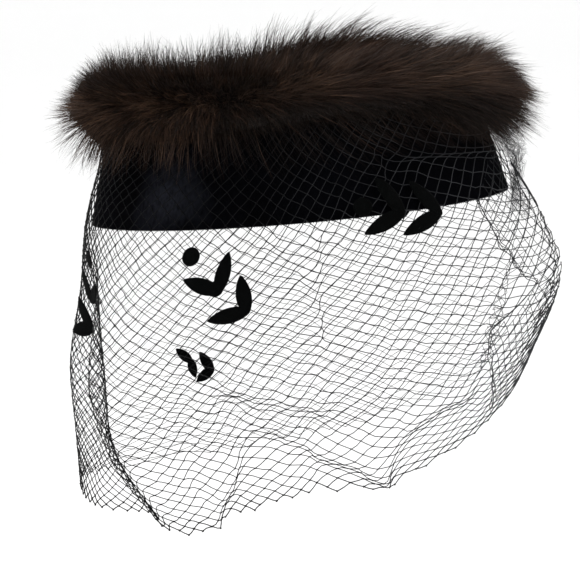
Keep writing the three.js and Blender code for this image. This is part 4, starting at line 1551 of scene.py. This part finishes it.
@dataclass
class FlockedMotifs:
    """Dots and pairs of leaves, cut from flocked cloth and stuck to the net. Millimetres."""

    form: VeilForm
    under: float = 0.55
    thick: float = 0.75
    radius: float = 4.1
    leaf_back: float = 1.0
    leaf_start: float = 0.05
    leaf_end: float = 0.995
    leaf_skew: float = 0.92
    leaf_belly: float = 0.72
    fibres_per_m2: float = 6.0e6
    fibre: float = 0.4
    # Seats and drops are another program's results, kept or moved a little, apart from the last dot
    # and the last two pairs. The leaves' lengths and angles began so and were changed.
    # name, seat, drop
    dots: tuple[tuple, ...] = (
        ("dot_1", 237.5, 0.242), ("dot_2", 289.0, 0.142), ("dot_3", 194.0, 0.262),
        ("dot_4", 477.1, 0.476), ("dot_5", 437.0, 0.235))
    # name, seat, drop, width, first leaf's length and angle, second leaf's length and angle
    leaves: tuple[tuple, ...] = (
        ("leaf_pair_1", 246.5, 0.350, 6.8, 17.0, 78, 17.5, 160),
        ("leaf_pair_2", 254.8, 0.417, 6.8, 16.0, 102, 17.5, 188),
        ("leaf_pair_3", 300.6, 0.168, 6.8, 18.5, 120, 19.5, 202),
        ("leaf_pair_4", 312.4, 0.184, 6.8, 19.0, 127, 20.5, 200),
        ("leaf_pair_5", 189.0, 0.395, 6.8, 17.0, 28, 14.5, 122),
        ("leaf_pair_6", 188.2, 0.482, 6.8, 18.0, 140, 17.0, 195),
        ("leaf_pair_7", 485.3, 0.693, 4.8, 10.0, 45, 9.0, -102),
        ("leaf_pair_8", 478.4, 0.734, 5.2, 12.0, 60, 9.5, -24),
        ("leaf_pair_9", 425.0, 0.165, 6.8, 18.0, -80, 18.0, 10),
        ("leaf_pair_10", 412.0, 0.185, 6.8, 18.0, -72, 18.0, 16))

    def _pad(self, seat: float, drop: float, round_it: Array, up: Array,
             swell: Array) -> tuple[Array, list[Face]]:
        """A closed, softly swollen pad on the net over a grid of places.

        Args:
            seat: The motif's own seat.
            drop: The motif's own drop.
            round_it: Millimetres round from there, for each point of the grid.
            up: Millimetres up from there.
            swell: How full the pad is at each point, from 0 at its rim to 1.

        Returns:
            Its points in metres and its faces.
        """
        seats, drops = self.form.along(seat, drop, round_it, up)
        middle = self.under + self.thick / 2
        half = self.thick * (0.16 + 0.34 * np.sqrt(np.clip(swell, 0, 1)))
        front = self.form.place(seats, drops, middle + half)
        behind = self.form.place(seats, drops, middle - half)
        rows, columns = round_it.shape
        count = rows * columns
        faces = grid_faces(rows, columns, False)
        faces += [tuple(n + count for n in reversed(face)) for face in faces]
        rim = (list(range(columns)) + [r * columns + columns - 1 for r in range(1, rows)]
               + [(rows - 1) * columns + c for c in range(columns - 2, -1, -1)]
               + [r * columns for r in range(rows - 2, 0, -1)])
        faces += [(a, rim[(k + 1) % len(rim)], rim[(k + 1) % len(rim)] + count, a + count)
                  for k, a in enumerate(rim)]
        return np.vstack([front.reshape(-1, 3), behind.reshape(-1, 3)]), faces

    def dot(self, seat: float, drop: float) -> list[tuple[Array, list[Face]]]:
        """One round dot."""
        across, along = np.meshgrid(np.linspace(-1, 1, 15), np.linspace(-1, 1, 15))
        round_it = self.radius * across * np.sqrt(1 - along ** 2 / 2)
        up = -self.radius * along * np.sqrt(1 - across ** 2 / 2)
        swell = 1 - (round_it ** 2 + up ** 2) / self.radius ** 2
        return [self._pad(seat, drop, round_it, up, swell)]

    def leaf(self, seat: float, drop: float, width: float, length: float,
             angle: float) -> tuple[Array, list[Face]]:
        """One leaf: round where it starts, widest before the middle, pointed at its tip.

        Args:
            seat: The pair's own seat.
            drop: The pair's own drop.
            width: The leaf's width.
            length: Its length from the pair's join.
            angle: Its direction in degrees, from the way round towards the seam.

        Returns:
            Its points in metres and its faces.
        """
        turn = math.radians(angle)
        across, along = np.meshgrid(np.linspace(-1, 1, 11), np.linspace(0, 1, 31) ** 0.9)
        arch = self.leaf_start + (self.leaf_end - self.leaf_start) * along
        side = width / 2 * np.sin(math.pi * arch ** self.leaf_skew) ** self.leaf_belly * across
        reach = -self.leaf_back + (length + self.leaf_back) * along
        swell = (1 - across ** 2) * np.minimum(1, 8 * along + 0.1)
        swell = swell * np.minimum(1, 6 * (1 - along) + 0.05)
        return self._pad(seat, drop, reach * math.cos(turn) + side * math.sin(turn),
                         reach * math.sin(turn) - side * math.cos(turn), swell)

    def nap_tree(self, material: bpy.types.Material) -> bpy.types.NodeTree:
        """Short flock fibres that stand on a pad."""
        bench = TreeBench("flock_nap")
        density = bench.ask("Fibres per square metre", self.fibres_per_m2)
        height = bench.ask("Fibre height", self.fibre * MM)
        seed = bench.ask("Seed", 1)
        pad = bench.geometry()
        spots = bench.scattered(pad, density, seed)
        identity = bench.node("GeometryNodeInputIndex")
        lean = spots.also("Normal") + bench.chance(identity, 3, (-0.45,) * 3, (0.45,) * 3)
        turned = bench.node("FunctionNodeAlignRotationToVector", {"axis": "Z"}, {"Vector": lean})
        fibre = bench.node("GeometryNodeMeshCone", {"fill_type": "NONE"}, {
            "Vertices": 3, "Side Segments": 1, "Radius Top": 0.0, "Radius Bottom": 0.09, "Depth": 1.0})
        size = height * bench.chance(identity, 4, 0.6, 1.2)
        placed = bench.node("GeometryNodeInstanceOnPoints", {}, {
            "Points": spots, "Instance": fibre, "Rotation": turned,
            "Scale": bench.node("ShaderNodeCombineXYZ", {}, {"X": height, "Y": height, "Z": size})})
        return bench.finished(bench.joined(pad, placed), material)

    def build(self, flock: bpy.types.Material) -> list[bpy.types.Object]:
        """Make every motif and put it in its CAD node's place."""
        pads = {name: self.dot(seat, drop) for name, seat, drop in self.dots}
        for name, seat, drop, width, first, first_turn, second, second_turn in self.leaves:
            pads[name] = [self.leaf(seat, drop, width, first, first_turn),
                          self.leaf(seat, drop, width, second, second_turn)]
        tree = self.nap_tree(flock)
        made = []
        for number, (name, parts) in enumerate(pads.items()):
            points, faces = np.empty((0, 3)), []
            for part, part_faces in parts:
                faces += [tuple(n + len(points) for n in face) for face in part_faces]
                points = np.vstack([points, part])
            host = plain_mesh(name + "_pad", points, faces)
            finish_shell(host, flock)
            piece = grown(host, tree, {
                "Fibres per square metre": self.fibres_per_m2, "Fibre height": self.fibre * MM,
                "Seed": number}, name.replace("_", "_flock_", 1))
            bpy.data.objects.remove(host)
            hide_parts(name)
            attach(piece, "root")
            made.append(piece)
        return made


# ---- Studio --------------------------------------------------------------------------


@dataclass
class Studio:
    """Camera, soft light and a pale sweep of paper. Metres."""

    target: tuple[float, float, float] = (-0.0046, 0.0, -0.0396)
    distance: float = 1.1
    elevation: float = 8.0
    lens: float = 148.4
    floor: float = -0.25
    surround: float = 1.0
    # name, place, size, watts
    lamps: tuple[tuple, ...] = (
        ("key", (-0.9, -1.1, 1.5), 1.1, 14.0), ("fill", (1.3, -1.4, 0.7), 1.4, 6.0),
        ("top", (0.1, 0.3, 1.9), 1.4, 10.0))
    # how far out, and how high above the floor
    sweep: tuple[tuple[float, float], ...] = (
        (0.4, 0.0), (1.0, 0.0), (1.8, 0.0), (2.4, 0.06), (2.9, 0.2), (3.3, 0.45), (3.6, 0.85),
        (3.75, 1.3), (3.8, 1.8))
    facets: int = 96

    def camera(self) -> None:
        """Set the camera up at the side of the hat."""
        angle = math.radians(self.elevation)
        ahead = Vector((0, math.cos(angle), -math.sin(angle)))
        data = bpy.data.cameras.new("camera")
        data.lens, data.sensor_width = self.lens, 36.0
        data.clip_start, data.clip_end = 0.05, 60.0
        made = bpy.data.objects.new("camera", data)
        made.location = Vector(self.target) - ahead * self.distance
        made.rotation_euler = ahead.to_track_quat("-Z", "Y").to_euler()
        bpy.context.scene.collection.objects.link(made)
        bpy.context.scene.camera = made

    def lamp(self, name: str, place: tuple[float, float, float], size: float,
             power: float) -> None:
        """Hang one large soft lamp that faces the hat."""
        data = bpy.data.lights.new(name, "AREA")
        data.shape, data.size, data.energy = "DISK", size, power
        made = bpy.data.objects.new(name, data)
        made.location = place
        made.rotation_euler = (Vector(self.target) - Vector(place)).to_track_quat("-Z", "Y").to_euler()
        bpy.context.scene.collection.objects.link(made)

    def paper(self, finish: bpy.types.Material) -> bpy.types.Object:
        """Lay the round sweep: flat under the hat and curved up a long way off."""
        azimuth = np.arange(self.facets) * 2 * math.pi / self.facets
        rings = np.stack([np.stack([reach * np.cos(azimuth), reach * np.sin(azimuth),
                                    np.full(self.facets, self.floor + rise)], -1)
                          for reach, rise in self.sweep])
        points = np.vstack([rings.reshape(-1, 3), [[0, 0, self.floor]]])
        faces = [tuple(reversed(face)) for face in grid_faces(len(rings), self.facets, True)]
        faces += fan(len(points) - 1, 0, self.facets)
        piece = plain_mesh("paper_sweep", points, faces)
        for face in piece.data.polygons:
            face.use_smooth = True
        piece.data.materials.append(finish)
        return piece

    def build(self) -> None:
        """Set up everything round the hat."""
        self.camera()
        world = bpy.data.worlds.new("surround")
        world.use_nodes = True
        sky = world.node_tree.nodes["Background"].inputs
        sky["Color"].default_value = (1, 1, 1, 1)
        sky["Strength"].default_value = self.surround
        bpy.context.scene.world = world
        for lamp in self.lamps:
            self.lamp(*lamp)
        bpy.context.scene.view_settings.view_transform = "Standard"
        self.paper(PaperFinish().build())


# ---- The hat -------------------------------------------------------------------------


def report(pieces: bpy.types.Object | list[bpy.types.Object]) -> None:
    """Say how large each piece is."""
    for piece in pieces if isinstance(pieces, list) else [pieces]:
        piece.data.calc_loop_triangles()
        log.info("%s: %d triangles", piece.name, len(piece.data.loop_triangles))


def main() -> None:
    """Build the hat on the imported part."""
    logging.basicConfig(level=logging.INFO, format="%(name)s %(message)s")
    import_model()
    Studio().build()
    hat = HatForm()
    form = VeilForm(hat)
    velvet, thread, flock = VelvetFinish().build(), ThreadFinish().build(), FlockFinish().build()

    band = CrownBand(hat)
    band_piece = band.build()
    band.dress(band_piece, velvet)
    report(band_piece)
    stitches = band.stitches(thread)
    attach(stitches, "root")
    report(stitches)

    crown = CrownTop(hat)
    crown_piece = crown.build()
    crown.dress(crown_piece, velvet)
    report(crown_piece)

    report(FurTrim(hat).build(FurFinish().build(), PeltFinish().build()))

    veil = Veil(form)
    veil_piece = veil.build(thread)
    veil.dress(veil_piece)
    report(veil_piece)
    gather = VeilGather(form)
    gather_piece = gather.build(thread)
    gather.dress(gather_piece)
    report(gather_piece)
    report(FlockedMotifs(form).build(flock))


if __name__ == "__main__":
    main()
